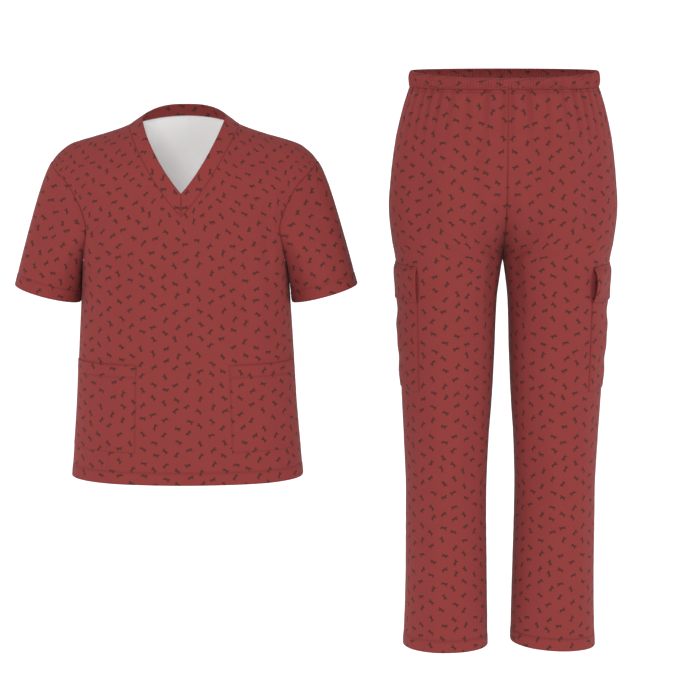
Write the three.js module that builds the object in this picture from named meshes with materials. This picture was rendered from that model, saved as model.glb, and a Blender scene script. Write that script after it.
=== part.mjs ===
import * as THREE from 'three';

// Medical scrubs in millimetres, +Z up: a V-neck top and, beside it, a pair of cargo trousers.
// Both hang as worn and hollow. The fronts face -Y and the wearer's left is +X.
// The origin lies on the top's middle plane, level with the side of the neck.

// Cloth
const clothWall = 1.8;
const bandWall = 2.4;
const waistWall = 4;
const seamGap = 0.3;

// Top: levels and widths
const topHemZ = -658;
const underarmZ = -255;
const shoulderTipX = 242;
const shoulderTipZ = -78;
const shoulderLineY = 8;
const bodyRoundness = 2.4;
const archRoundness = 2.6;
const armholeFrontShare = 0.64;
const armholeBackShare = 0.56;
const armholeBottomRise = 65;
// Below and above the underarm, how far the change from the body's round to the open armhole reaches
const underarmFadeBelow = 80;
const underarmFadeAbove = 75;
// How closely the open armhole's shape keeps to the outermost columns: inside the chest, and at the very edge
const openPower = 3;
const edgePower = 10;

// Top: neck
const neckSeamX = 101.6;
const neckEdgeX = 77.5;
const frontSeamDropZ = -170;
const frontEdgeDropZ = -130;
const backSeamRiseZ = 2;
const backEdgeRiseZ = 22;
const backEdgeY = 64;
const seamBow = 0.34;
const edgeBow = 0.3;
const edgeTurn = 0.06;

// Top: sleeves
const cuffCentre = new THREE.Vector3(255.5, 5, -320.5);
const cuffHalfWidth = 62;
const cuffHalfDepth = 70;
const cuffTilt = THREE.MathUtils.degToRad(15.3);
const sleeveClear = 2.5;
// Shares of a sleeve's length that its ends hold their direction for: all round, and at the shoulder tip
const sleeveEase = 0.36;
const capEase = 0.35;
// Height up the armhole, from underarm 0 to shoulder tip 1, where the sleeve's first direction changes
const underarmTurnEnd = 0.16;
const bodyLineStart = 0.25;
const bodyLineEnd = 0.65;
const downPullEnd = 0.45;
const downPull = 1.3;

// Top: patch pockets
const pocketTopZ = -440;
const pocketBottomZ = -601;
const pocketPuff = 2.2;
// Share of the way round from the middle to the side seam at a pocket's outer edge
const pocketSide = 0.93;

// Trousers: levels and widths
const trousersX = 582.5;
const waistSeamZ = 56;
const waistSideZ = 87;
const waistFrontZ = 77;
const waistBackZ = 86;
const waistHalfWidth = 171;
const waistFrontDepth = 122;
const waistBackDepth = 125;
const waistGathers = 36;
const waistGather = 1.5;
const waistPuff = 2.4;
const waistTuck = 2.2;
// Below 1, the band's front edge drops soon in front of the sides
const waistDropPower = 0.8;
const waistFold = 2.2;
const crotchZ = -248;
const seatHold = 4;
const trouserHemZ = -985;
const hemEaseZ = -900;

// Trousers: cargo pockets and flaps, whose edges lie on rows of the leg
const flapTopZ = -262;
const cargoTopZ = -276;
const flapBottomZ = -329;
const cargoBottomZ = -495;
const cargoPuff = 3.2;
const flapClear = 0.6;
const flapGapeWidth = 0.3;

// Columns and rows of the walls
const neckColumns = 6;
const flankColumns = 6;
const pocketRows = 4;
const sleeveRows = 7;
const trouserColumns = 14;
const cargoColumns = 4;
const waistColumns = 144;

// Half width of the top's body, and how far front and back stand from the side seams, by height
const topSections = [
  { z: -658, half: 214, front: 121, back: 115 },
  { z: -601, half: 209, front: 119, back: 111 },
  { z: -520, half: 202.5, front: 117, back: 107 },
  { z: -440, half: 198, front: 116, back: 106 },
  { z: -338, half: 192, front: 117, back: 111 },
  { z: -255, half: 187, front: 118, back: 115 },
];

// How far out the armhole seam lies, by height
const armholeSections = [
  { z: -255, x: 187 },
  { z: -227, x: 179 },
  { z: -195, x: 174.5 },
  { z: -169, x: 180.5 },
  { z: -138, x: 195 },
  { z: -121, x: 205 },
  { z: -104, x: 220 },
  { z: -88, x: 236 },
  { z: -78, x: 242 },
];

// Height of the shoulder's ridge, by distance from the middle. Inside the neck it is only a guide.
const ridgeSections = [
  { x: 0, z: 43 },
  { x: 25, z: 38 },
  { x: 50, z: 25.5 },
  { x: 77.5, z: 3.7 },
  { x: 101.6, z: -12.5 },
  { x: 141.5, z: -27 },
  { x: 191, z: -41.5 },
  { x: 209, z: -48 },
  { x: 229, z: -63 },
  { x: 242, z: -78 },
];

// Soft folds of the top: place and lean, width, depth, and the heights where each fades out
const topFrontFolds = [
  { x: -104, lean: 0.05, width: 17, depth: -5, top: -190, bottom: -440 },
  { x: -140, lean: -0.04, width: 20, depth: 4, top: -200, bottom: -470 },
  { x: -62, lean: 0.02, width: 20, depth: 3, top: -260, bottom: -640 },
  { x: 108, lean: -0.03, width: 18, depth: -4, top: -200, bottom: -420 },
  { x: 74, lean: -0.02, width: 22, depth: 3, top: -240, bottom: -560 },
  { x: 146, lean: 0.04, width: 20, depth: 3.5, top: -220, bottom: -500 },
];
const topBackFolds = [
  { x: -112, lean: 0.05, width: 22, depth: -4, top: -180, bottom: -560 },
  { x: -20, lean: -0.03, width: 26, depth: 3, top: -260, bottom: -640 },
  { x: 98, lean: -0.06, width: 22, depth: -5, top: -210, bottom: -600 },
];

// Soft folds of a sleeve: place round the armhole, how it leans, width, depth and reach along the sleeve
const sleeveFolds = [
  { turn: 0.42, lean: -0.1, width: 0.12, depth: -4, from: 0.05, to: 0.8 },
  { turn: 0.68, lean: 0.05, width: 0.12, depth: 3, from: 0.25, to: 1 },
  { turn: 1.45, lean: 0.1, width: 0.14, depth: -4, from: 0.05, to: 0.85 },
];

// Half width, inner edge, front depth and back depth of the trousers, by height
const trouserSections = [
  { z: 56, half: 172.5, inner: 0, front: 122, back: 125 },
  { z: 15, half: 185, inner: 0, front: 124, back: 133 },
  { z: -40, half: 197, inner: 0, front: 124, back: 143 },
  { z: -113, half: 206, inner: 0, front: 123, back: 150 },
  { z: -160, half: 209, inner: 0, front: 121, back: 150 },
  { z: -223, half: 203, inner: 0, front: 116, back: 141 },
  { z: -248, half: 198, inner: 0, front: 113, back: 134 },
  { z: -276, half: 194, inner: 4, front: 110, back: 127 },
  { z: -338, half: 190.5, inner: 11, front: 103, back: 115 },
  { z: -428, half: 187.5, inner: 14, front: 97, back: 104 },
  { z: -522, half: 183.5, inner: 18.6, front: 90, back: 96 },
  { z: -597, half: 179.5, inner: 24, front: 86, back: 91 },
  { z: -700, half: 175.5, inner: 27, front: 82, back: 88 },
  { z: -826, half: 175.5, inner: 25, front: 79, back: 85 },
  { z: -903, half: 176.7, inner: 23.5, front: 77, back: 83 },
  { z: -985, half: 180, inner: 22, front: 76, back: 82 },
];

// Rows of the leg below the crotch
const legRows = [
  flapTopZ, cargoTopZ, -302, flapBottomZ, -370, -412, -454, cargoBottomZ,
  -550, -612, -680, -758, -838, -910, -962, trouserHemZ,
];

// Folds of the trousers, placed by the share of the panel from outseam to centre seam
const trouserFrontFolds = [
  { share: 0.8, width: 0.05, depth: -5, top: 40, bottom: -420 },
  { share: 0.9, width: 0.05, depth: 2.5, top: 30, bottom: -230 },
  { share: 0.62, width: 0.07, depth: 3.5, top: 20, bottom: -330 },
  { share: 0.45, width: 0.06, depth: -3, top: 10, bottom: -250 },
  { share: 0.5, width: 0.1, depth: 3, top: -560, bottom: -780 },
  { share: 0.7, width: 0.1, depth: -3, top: -520, bottom: -700 },
];
const trouserBackFolds = [
  { share: 0.74, width: 0.07, depth: -5, top: 30, bottom: -380 },
  { share: 0.55, width: 0.07, depth: 3, top: 20, bottom: -300 },
  { share: 0.84, width: 0.06, depth: -4, top: -200, bottom: -460 },
  { share: 0.5, width: 0.1, depth: -4, top: -540, bottom: -720 },
];

const { clamp, degToRad, lerp, smoothstep } = THREE.MathUtils;

// Reads a named column of a table at a place along its key column, on a smooth curve with no overshoot
function readTable(table, key, column, place) {
  const rising = table[1][key] > table[0][key];
  const rows = rising ? table : [...table].reverse();
  const last = rows.length - 1;
  const at = clamp(place, rows[0][key], rows[last][key]);
  let index = 0;
  while (index < last - 1 && at > rows[index + 1][key]) index += 1;
  const slopeOf = (i) => (rows[i + 1][column] - rows[i][column]) / (rows[i + 1][key] - rows[i][key]);
  const bend = (i) => {
    if (i === 0) return slopeOf(0);
    if (i === last) return slopeOf(last - 1);
    const before = slopeOf(i - 1);
    const after = slopeOf(i);
    return before * after > 0 ? (2 * before * after) / (before + after) : 0;
  };
  const span = rows[index + 1][key] - rows[index][key];
  const t = (at - rows[index][key]) / span;
  const square = t * t;
  const cube = square * t;
  return (
    rows[index][column] * (2 * cube - 3 * square + 1) +
    bend(index) * span * (cube - 2 * square + t) +
    rows[index + 1][column] * (3 * square - 2 * cube) +
    bend(index + 1) * span * (cube - square)
  );
}

function evenSteps(from, to, count) {
  return Array.from({ length: count + 1 }, (_, i) => lerp(from, to, i / count));
}

// A bump that is 1 at its middle and fades over its width
function bump(distance, width) {
  return Math.exp(-((distance / width) ** 2));
}

// 1 between two heights, fading over the outer third of the stretch
function stretch(z, top, bottom) {
  const fade = (top - bottom) / 3;
  return smoothstep(z, bottom, bottom + fade) * (1 - smoothstep(z, top - fade, top));
}

// A wall of cloth: surface(u, v) is its outer face, on a grid of us by vs, and the wall goes inwards.
// outward is 1 where the u direction crossed with the v direction points out, and -1 where it points in.
// trim(u, v) is a small shift that keeps the piece's edges off its neighbours'.
function clothGeometry({ surface, us, vs, outward = 1, thickness = clothWall, around = false, trim }) {
  const tiny = 1e-3;
  const lowU = around ? -Infinity : Math.min(us[0], us[us.length - 1]);
  const highU = around ? Infinity : Math.max(us[0], us[us.length - 1]);
  const lowV = Math.min(vs[0], vs[vs.length - 1]);
  const highV = Math.max(vs[0], vs[vs.length - 1]);
  const across = around ? us.length - 1 : us.length;
  const outer = [];
  const inner = [];
  for (const v of vs) {
    for (let i = 0; i < across; i += 1) {
      const u = us[i];
      const point = surface(u, v);
      const alongU = surface(Math.min(u + tiny, highU), v).sub(surface(Math.max(u - tiny, lowU), v));
      const alongV = surface(u, Math.min(v + tiny, highV)).sub(surface(u, Math.max(v - tiny, lowV)));
      const normal = alongU.cross(alongV).normalize().multiplyScalar(outward);
      if (trim) point.add(trim(u, v));
      outer.push(point);
      inner.push(point.clone().addScaledVector(normal, -thickness));
    }
  }
  const risingU = us[us.length - 1] > us[0] ? 1 : -1;
  const risingV = vs[vs.length - 1] > vs[0] ? 1 : -1;
  const flip = outward * risingU * risingV < 0;
  const points = [...outer, ...inner];
  const faces = [];
  const quad = (a, b, c, d) => {
    if (flip) faces.push(a, c, b, a, d, c);
    else faces.push(a, b, c, a, c, d);
  };
  const at = (i, j) => j * across + (i % across);
  const under = outer.length;
  for (let j = 0; j < vs.length - 1; j += 1) {
    for (let i = 0; i < us.length - 1; i += 1) {
      quad(at(i, j), at(i + 1, j), at(i + 1, j + 1), at(i, j + 1));
      quad(under + at(i, j), under + at(i, j + 1), under + at(i + 1, j + 1), under + at(i + 1, j));
    }
  }
  const top = vs.length - 1;
  for (let i = 0; i < us.length - 1; i += 1) {
    quad(at(i, 0), under + at(i, 0), under + at(i + 1, 0), at(i + 1, 0));
    quad(at(i, top), at(i + 1, top), under + at(i + 1, top), under + at(i, top));
  }
  if (!around) {
    const side = us.length - 1;
    for (let j = 0; j < top; j += 1) {
      quad(at(0, j), at(0, j + 1), under + at(0, j + 1), under + at(0, j));
      quad(at(side, j), under + at(side, j), under + at(side, j + 1), at(side, j + 1));
    }
  }
  const geometry = new THREE.BufferGeometry();
  const flat = points.flatMap((point) => [point.x, point.y, point.z]);
  geometry.setAttribute('position', new THREE.Float32BufferAttribute(flat, 3));
  geometry.setIndex(faces);
  geometry.computeVertexNormals();
  return geometry;
}

// The outward direction of a surface at u, v
function outwardAt(surface, u, v, outward) {
  const tiny = 1e-4;
  const alongU = surface(u + tiny, v).sub(surface(u - tiny, v));
  const alongV = surface(u, v + tiny).sub(surface(u, v - tiny));
  return alongU.cross(alongV).normalize().multiplyScalar(outward);
}

function foldsAt(folds, x, z) {
  return folds.reduce((sum, fold) => {
    const middle = fold.x + fold.lean * (z - fold.top);
    return sum + fold.depth * bump(x - middle, fold.width) * stretch(z, fold.top, fold.bottom);
  }, 0);
}

// Body of the top

// Share of the half width for a share of the way from the middle to the side seam
function acrossShare(u) {
  return Math.sign(u) * Math.abs(Math.sin((u * Math.PI) / 2)) ** (2 / bodyRoundness);
}

function acrossAngle(share) {
  return (Math.asin(share ** (bodyRoundness / 2)) * 2) / Math.PI;
}

function sideX(z) {
  if (z <= underarmZ) return readTable(topSections, 'z', 'half', z);
  if (z >= shoulderTipZ) return shoulderTipX;
  return readTable(armholeSections, 'z', 'x', z);
}

// How far the top's front (face -1) or back (face 1) stands from the side seams' plane
function bodyY(x, z, face) {
  const far = Math.abs(x);
  const share = clamp(far / sideX(z), 0, 1);
  const depth = readTable(topSections, 'z', face < 0 ? 'front' : 'back', z);
  const round = (1 - share ** bodyRoundness) ** (1 / bodyRoundness);
  const edgeShare = face < 0 ? armholeFrontShare : armholeBackShare;
  const open = 1 - (1 - edgeShare) * share ** openPower;
  const rise = clamp((z - underarmZ) / armholeBottomRise, 0, 1);
  const edgeBlend = Math.sqrt(1 - (1 - rise) ** 2);
  const innerBlend = smoothstep(z, underarmZ - underarmFadeBelow, underarmZ + underarmFadeAbove);
  const blend = lerp(innerBlend, edgeBlend, share ** edgePower);
  const climb = clamp((z - underarmZ) / (ridgeZ(far) - underarmZ), 0, 1);
  const arch = Math.sqrt(Math.max(0, 1 - climb ** archRoundness));
  return shoulderLineY * smoothstep(climb, 0, 1) + face * depth * lerp(round, open, blend) * arch;
}

// Neck lines as seen from the front: the seam of the band and the band's free edge
const ridgeZ = (x) => readTable(ridgeSections, 'x', 'z', Math.abs(x));

function frontSeamZ(x) {
  const share = x / neckSeamX;
  return lerp(frontSeamDropZ, ridgeZ(neckSeamX), lerp(share, share ** 2, seamBow));
}

function frontEdgeZ(x) {
  const share = x / neckEdgeX;
  const climb = lerp(share, share ** 2, edgeBow) - edgeTurn * (share - share ** 8);
  return lerp(frontEdgeDropZ, ridgeZ(neckEdgeX), climb);
}

function backSeamZ(x) {
  return lerp(backSeamRiseZ, ridgeZ(neckSeamX), (x / neckSeamX) ** 2);
}

// u runs from the wearer's right side seam (-1) to the left (1). v runs from hem (0) to underarm level (1)
// and on over the chest to the shoulder or neck seam (2).
function bodySurface(face) {
  const folds = face < 0 ? topFrontFolds : topBackFolds;
  const seamZ = face < 0 ? frontSeamZ : backSeamZ;
  return (u, v) => {
    const share = acrossShare(u);
    let x;
    let z;
    if (v <= 1) {
      z = lerp(topHemZ, underarmZ, v);
      x = share * sideX(z);
    } else {
      const climb = Math.sin(((v - 1) * Math.PI) / 2);
      const topX = Math.abs(share) * shoulderTipX;
      const topZ = topX <= neckSeamX ? seamZ(topX) : ridgeZ(topX);
      z = lerp(underarmZ, topZ, climb);
      x = share * sideX(lerp(underarmZ, shoulderTipZ, climb));
    }
    const y = bodyY(x, z, face) + face * foldsAt(folds, x, z);
    return new THREE.Vector3(x, y, z);
  };
}

const neckShare = neckSeamX / shoulderTipX;
const flankStart = acrossAngle(neckShare);

// Columns of one half: dense at the neck seam's end, one at the pocket's outer edge, one on the side seam
const halfColumns = [
  ...evenSteps(0, 1, neckColumns).map((step) => acrossAngle(neckShare * Math.sin((step * Math.PI) / 2))),
  ...evenSteps(flankStart, pocketSide, flankColumns - 1).slice(1),
  1,
];
const topColumns = [...halfColumns.slice(1).reverse().map((u) => -u), ...halfColumns];

const levelShare = (z) => (z - topHemZ) / (underarmZ - topHemZ);
const lowerRows = [
  ...evenSteps(topHemZ, pocketBottomZ, 1),
  ...evenSteps(pocketBottomZ, pocketTopZ, pocketRows).slice(1),
  ...evenSteps(pocketTopZ, underarmZ, 4).slice(1),
].map(levelShare);
const archAngles = [3, 11, 22, 35, 48, 60, 70, 80, 90];
const bandRows = [0.012, 0.5, 1];
const topRows = [...lowerRows, ...archAngles.map((angle) => 1 + angle / 90)];

// Draws a body panel's edges back from their seams by half the gap
function bodyTrim(face) {
  return (u, v) => {
    const atSide = Math.abs(u) === 1;
    const atTop = v === topRows[topRows.length - 1];
    const atNeck = atTop && Math.abs(u) <= flankStart;
    const atShoulder = atTop && Math.abs(u) >= flankStart;
    const gap = seamGap / 2;
    return new THREE.Vector3(
      atSide && v > 1 ? -Math.sign(u) * gap : 0,
      (atSide && v <= 1) || atShoulder ? face * gap : 0,
      atNeck ? -seamGap : 0,
    );
  };
}

const frontBody = bodySurface(-1);
const backBody = bodySurface(1);

// Sleeve

const cuffOut = new THREE.Vector3(Math.cos(cuffTilt), 0, Math.sin(cuffTilt));
const cuffDown = new THREE.Vector3(Math.sin(cuffTilt), 0, -Math.cos(cuffTilt));
const straightDown = new THREE.Vector3(0, 0, -1);
const underarmStart = new THREE.Vector3(0.12, 0, -1);
const lowerStart = new THREE.Vector3(0.8, 0, -0.6);
const armholeMiddle = new THREE.Vector3(shoulderTipX, 0, -160);

// turn runs round the armhole: underarm 0, front, shoulder tip 1, back, underarm 2
function armholePoint(turn) {
  return turn <= 1 ? frontBody(1, 1 + turn) : backBody(1, 3 - turn);
}

// How far round the cuff each point of the armhole leads, by its share of the armhole's length
function cuffTurns(towardsBack) {
  const turns = [0, ...archAngles.map((angle) => angle / 90)];
  const points = turns.map((turn) => armholePoint(towardsBack ? 2 - turn : turn));
  let run = 0;
  const rows = turns.map((turn, i) => {
    run += i > 0 ? points[i].distanceTo(points[i - 1]) : 0;
    return { turn, run };
  });
  return rows.map((row) => ({ turn: row.turn, angle: (Math.PI * row.run) / run }));
}
const frontCuffTurns = cuffTurns(false);
const backCuffTurns = cuffTurns(true);

function cuffPoint(turn) {
  const front = turn <= 1;
  const table = front ? frontCuffTurns : backCuffTurns;
  const angle = readTable(table, 'turn', 'angle', front ? turn : 2 - turn);
  const point = cuffCentre.clone().addScaledVector(cuffOut, -cuffHalfWidth * Math.cos(angle));
  point.y += (front ? -1 : 1) * cuffHalfDepth * Math.sin(angle);
  return point;
}

// The way the sleeve leaves the armhole: folded down at the underarm, in line with the body above it
function sleeveStart(turn) {
  const front = turn <= 1;
  const v = front ? 1 + turn : 3 - turn;
  const body = front ? frontBody : backBody;
  const along = body(1, v).sub(body(0.999, v)).normalize();
  const height = front ? turn : 2 - turn;
  along.addScaledVector(straightDown, downPull * (1 - smoothstep(height, downPullEnd, 1))).normalize();
  const start = underarmStart.clone().lerp(lowerStart, smoothstep(height, 0, underarmTurnEnd));
  return start.lerp(along, smoothstep(height, bodyLineStart, bodyLineEnd)).normalize();
}

function sleeveSurface(turn, v) {
  const around = ((turn % 2) + 2) % 2;
  const from = armholePoint(around);
  from.x += 2 * seamGap;
  const to = cuffPoint(around);
  const height = around <= 1 ? around : 2 - around;
  const reach = from.distanceTo(to) * sleeveEase;
  const leaveReach = reach * lerp(1, capEase, smoothstep(height, 0.5, 1));
  const leave = from.clone().addScaledVector(sleeveStart(around), leaveReach);
  const arrive = to.clone().addScaledVector(cuffDown, -reach);
  const point = new THREE.CubicBezierCurve3(from, leave, arrive, to).getPoint(v);
  const middle = new THREE.Vector3().lerpVectors(armholeMiddle, cuffCentre, v);
  const push = sleeveFolds.reduce((sum, fold) => {
    const share = Math.sin(Math.PI * clamp((v - fold.from) / (fold.to - fold.from), 0, 1));
    return sum + fold.depth * bump(around - fold.turn - fold.lean * v, fold.width) * share;
  }, 0);
  point.addScaledVector(point.clone().sub(middle).normalize(), push);
  const depth = readTable(topSections, 'z', point.y < 0 ? 'front' : 'back', point.z);
  const round = (1 - clamp(Math.abs(point.y) / depth, 0, 1) ** bodyRoundness) ** (1 / bodyRoundness);
  const clear = lerp(seamGap, sleeveClear, smoothstep(v, 0, 0.4));
  point.x = Math.max(point.x, sideX(point.z) * round + clear);
  return point;
}

const sleeveTurns = [
  0,
  ...archAngles.map((angle) => angle / 90),
  ...archAngles.slice(0, -1).reverse().map((angle) => 2 - angle / 90),
  2,
];

// Neckband

// a runs from the middle (0) to the shoulder (1), b from the band's seam (0) to its free edge (1)
function frontBandSurface(a, b) {
  const swing = Math.sin((a * Math.PI) / 2);
  const seamX = neckSeamX * swing;
  const edgeX = neckEdgeX * swing;
  const x = lerp(seamX, edgeX, b);
  const z = ridgeZ(x) - lerp(ridgeZ(seamX) - frontSeamZ(seamX), ridgeZ(edgeX) - frontEdgeZ(edgeX), b);
  return new THREE.Vector3(x, bodyY(x, z, -1), z);
}

function backBandSurface(a, b) {
  const swing = Math.sin((a * Math.PI) / 2);
  const seamX = neckSeamX * swing;
  const seamZ = backSeamZ(Math.abs(seamX));
  const seam = new THREE.Vector3(seamX, bodyY(seamX, seamZ, 1), seamZ);
  const edge = new THREE.Vector3(
    neckEdgeX * swing,
    lerp(backEdgeY, shoulderLineY, 1 - Math.cos((a * Math.PI) / 2)),
    lerp(backEdgeRiseZ, ridgeZ(neckEdgeX), Math.abs(swing) ** 2.2),
  );
  const point = seam.lerp(edge, b);
  const overRidge = lerp(ridgeZ(neckSeamX), ridgeZ(neckEdgeX), b) - ridgeZ(lerp(neckSeamX, neckEdgeX, b));
  point.z -= overRidge * smoothstep(Math.abs(a), 0.6, 1);
  return point;
}

function frontBandTrim(a) {
  return new THREE.Vector3(a === 0 ? seamGap / 2 : 0, a === 1 ? -seamGap / 2 : 0, 0);
}

function backBandTrim(a) {
  return new THREE.Vector3(0, Math.abs(a) === 1 ? seamGap / 2 : 0, 0);
}

// Pieces that lie on a panel: the panel's own points moved out

function raised(surface, outward, lift) {
  return (u, v) => surface(u, v).addScaledVector(outwardAt(surface, u, v, outward), lift(u, v));
}

// How far a patch pocket stands off the front: sewn down at its sides and bottom, slack at its mouth
function patchLift(u, v) {
  const across = clamp((Math.abs(u) - flankStart) / (pocketSide - flankStart), 0, 1);
  const up = (v - levelShare(pocketBottomZ)) / (levelShare(pocketTopZ) - levelShare(pocketBottomZ));
  const slack = Math.sin(Math.PI * across) ** 0.8 * smoothstep(up, 0, 1.2);
  return seamGap + clothWall + pocketPuff * slack;
}

// Trousers

// How far the two halves have parted, from 0 at the waist to 1 at the crotch
function parting(z) {
  const down = clamp((waistSeamZ - z) / (waistSeamZ - crotchZ), 0, 1);
  return 1 - (1 - down ** seatHold) ** 2;
}

// u runs from the outseam (0) to the centre seam or inseam (1) of the wearer's left half, z is the height.
// hemRise is how much higher the hem sits at the inseam than at the outseam.
function trouserSurface(face, hemRise) {
  const folds = face < 0 ? trouserFrontFolds : trouserBackFolds;
  return (u, z) => {
    const half = readTable(trouserSections, 'z', 'half', z);
    const inner = readTable(trouserSections, 'z', 'inner', z);
    const depth = readTable(trouserSections, 'z', face < 0 ? 'front' : 'back', z);
    const parted = parting(z);
    const reach = z > crotchZ ? half / (1 + parted) : (half - inner) / 2;
    const middle = half - reach;
    const angle = u * Math.acos(-parted);
    const gathers = waistFold * Math.cos(u * trouserColumns * Math.PI) * smoothstep(z, -150, 70);
    const uneven = 0.65 + 0.35 * Math.sin(u * 11 + face);
    const push = folds.reduce((sum, fold) => {
      return sum + fold.depth * bump(u - fold.share, fold.width) * stretch(z, fold.top, fold.bottom);
    }, gathers * uneven);
    const away = new THREE.Vector3(Math.cos(angle), face * Math.sin(angle), 0);
    const x = middle + reach * away.x;
    const nearMiddle = z > crotchZ - 60 ? smoothstep(x, 0, 24) : 1;
    const rise = hemRise * smoothstep(-z, -hemEaseZ, -trouserHemZ) * (0.5 - 0.5 * away.x);
    return new THREE.Vector3(x, depth * away.y, z + rise).addScaledVector(away, push * nearMiddle);
  };
}

function trouserTrim(face) {
  return (u, z) => {
    const atSeam = u === 0 || u === 1;
    const atMiddle = u === 1 && z >= crotchZ;
    const gap = seamGap / 2;
    return new THREE.Vector3(atMiddle ? gap : 0, atSeam ? face * gap : 0, z === waistSeamZ ? -gap : 0);
  };
}

const frontTrouser = trouserSurface(-1, 0);
const backTrouser = trouserSurface(1, 0);
const trouserShares = evenSteps(0, 1, trouserColumns);
const seatShares = [
  0, 0.14, 0.28, 0.42,
  ...evenSteps(10, 90, 8).map((angle) => (1 - Math.sqrt(1 - Math.sin(degToRad(angle)))) ** (1 / seatHold)),
];
const trouserRows = [
  ...seatShares.map((share) => lerp(waistSeamZ, crotchZ, share)),
  ...legRows,
];

// The outer side of a leg: across runs from -1 in front to 1 behind, over the outseam
function legSide(across, z) {
  const share = (Math.abs(across) * cargoColumns) / trouserColumns;
  return (across < 0 ? frontTrouser : backTrouser)(share, z);
}

function legSideOut(across, z) {
  const tiny = 1e-3;
  const alongX = legSide(across + tiny, z).sub(legSide(across - tiny, z));
  const alongZ = legSide(across, z + tiny).sub(legSide(across, z - tiny));
  return alongX.cross(alongZ).normalize();
}

// Slack of a cargo pocket between its sewn edges, with uneven ripples down its sides
function cargoLift(across, z) {
  const down = (cargoTopZ - z) / (cargoTopZ - cargoBottomZ);
  const bulge = Math.cos((across * Math.PI) / 2) ** 0.6 * Math.sin(Math.PI * clamp(down, 0.12, 1)) ** 0.6;
  const ripple = 0.35 * Math.sin(down * 15 + 2 * across) + 0.2 * Math.sin(down * 31 - across);
  return seamGap + clothWall + cargoPuff * bulge * (0.8 + ripple);
}

// The flap is sewn to the leg above the pocket and hangs over it. Its front edge may stand open.
function flapLift(gape) {
  return (across, z) => {
    const overPocket = smoothstep(flapTopZ - z, 0, flapTopZ - cargoTopZ);
    const down = (flapTopZ - z) / (flapTopZ - flapBottomZ);
    const clear = cargoLift(across, Math.min(z, cargoTopZ)) + seamGap + clothWall;
    const open = gape * bump(across + 1, flapGapeWidth) * Math.sin(Math.PI * clamp(down, 0, 1));
    return lerp(seamGap + clothWall, clear + flapClear, overPocket) + open;
  };
}

function onLegSide(lift) {
  return (across, z) => legSide(across, z).addScaledVector(legSideOut(across, z), lift(across, z));
}

// Waistband: angle runs round from the wearer's left side over the back, v from the seam to the top
function waistSurface(angle, v) {
  const out = new THREE.Vector3(Math.cos(angle), Math.sin(angle), 0);
  const behind = Math.max(0, out.y);
  const before = Math.max(0, -out.y);
  const drop = (waistFrontZ - waistSideZ) * before ** waistDropPower;
  const topZ = waistSideZ + drop + (waistBackZ - waistSideZ) * behind;
  const depth = out.y < 0 ? waistFrontDepth : waistBackDepth;
  const wave = Math.cos(waistGathers * angle + 0.9 * Math.sin(3 * angle) + 0.6 * Math.sin(7 * angle));
  const puff = waistPuff * Math.sin(Math.PI * v) ** 0.7 - waistTuck * v ** 6;
  const push = puff + waistGather * wave * (0.7 + 0.3 * Math.sin(5 * angle)) * (1 - 0.5 * v);
  return new THREE.Vector3(
    (waistHalfWidth + push) * out.x,
    (depth + push) * out.y,
    lerp(waistSeamZ + seamGap / 2, topZ, v),
  );
}

const clothMaterial = (color) => new THREE.MeshStandardMaterial({ color, roughness: 0.85, metalness: 0 });
const scrubRed = '#933f3d';

const scrubs = new THREE.Group();
const top = new THREE.Group();
const trousers = new THREE.Group();
trousers.position.x = trousersX;
scrubs.add(top, trousers);

function addPiece(group, name, geometry) {
  const piece = new THREE.Mesh(geometry, clothMaterial(scrubRed));
  piece.name = name;
  group.add(piece);
}

addPiece(top, 'top_front', clothGeometry({
  surface: frontBody,
  us: topColumns,
  vs: topRows,
  trim: bodyTrim(-1),
}));
addPiece(top, 'top_back', clothGeometry({
  surface: backBody,
  us: topColumns,
  vs: topRows,
  outward: -1,
  trim: bodyTrim(1),
}));
addPiece(top, 'top_neckband_back', clothGeometry({
  surface: backBandSurface,
  us: evenSteps(-1, 1, 2 * neckColumns),
  vs: bandRows,
  outward: -1,
  thickness: bandWall,
  trim: backBandTrim,
}));

const halves = [
  { side: 'left', sign: 1, flapGape: 9, hemRise: 9 },
  { side: 'right', sign: -1, flapGape: 2.5, hemRise: 1 },
];
for (const { side, sign, flapGape, hemRise } of halves) {
  const mirror = new THREE.Vector3(sign, 1, 1);
  const mirrored = (surface) => (u, v) => surface(u, v).multiply(mirror);
  addPiece(top, `top_sleeve_${side}`, clothGeometry({
    surface: mirrored(sleeveSurface),
    us: sleeveTurns,
    vs: evenSteps(0, 1, sleeveRows),
    outward: -sign,
    around: true,
  }));
  addPiece(top, `top_neckband_${side}`, clothGeometry({
    surface: mirrored(frontBandSurface),
    us: evenSteps(0, 1, neckColumns),
    vs: bandRows,
    outward: sign,
    thickness: bandWall,
    trim: mirrored(frontBandTrim),
  }));
  addPiece(top, `top_pocket_${side}`, clothGeometry({
    surface: raised(frontBody, 1, patchLift),
    us: halfColumns.slice(neckColumns, -1).map((u) => sign * u).sort((a, b) => a - b),
    vs: topRows.slice(1, 1 + pocketRows + 1),
  }));
  for (const { place, face } of [{ place: 'front', face: -1 }, { place: 'back', face: 1 }]) {
    addPiece(trousers, `trousers_${place}_${side}`, clothGeometry({
      surface: mirrored(trouserSurface(face, hemRise)),
      us: trouserShares,
      vs: trouserRows,
      outward: sign * face,
      trim: mirrored(trouserTrim(face)),
    }));
  }
  const sides = evenSteps(-1, 1, 2 * cargoColumns);
  addPiece(trousers, `cargo_pocket_${side}`, clothGeometry({
    surface: mirrored(onLegSide(cargoLift)),
    us: sides,
    vs: legRows.filter((z) => z <= cargoTopZ && z >= cargoBottomZ),
    outward: sign,
  }));
  addPiece(trousers, `cargo_flap_${side}`, clothGeometry({
    surface: mirrored(onLegSide(flapLift(flapGape))),
    us: sides,
    vs: legRows.filter((z) => z >= flapBottomZ),
    outward: sign,
  }));
}

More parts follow.
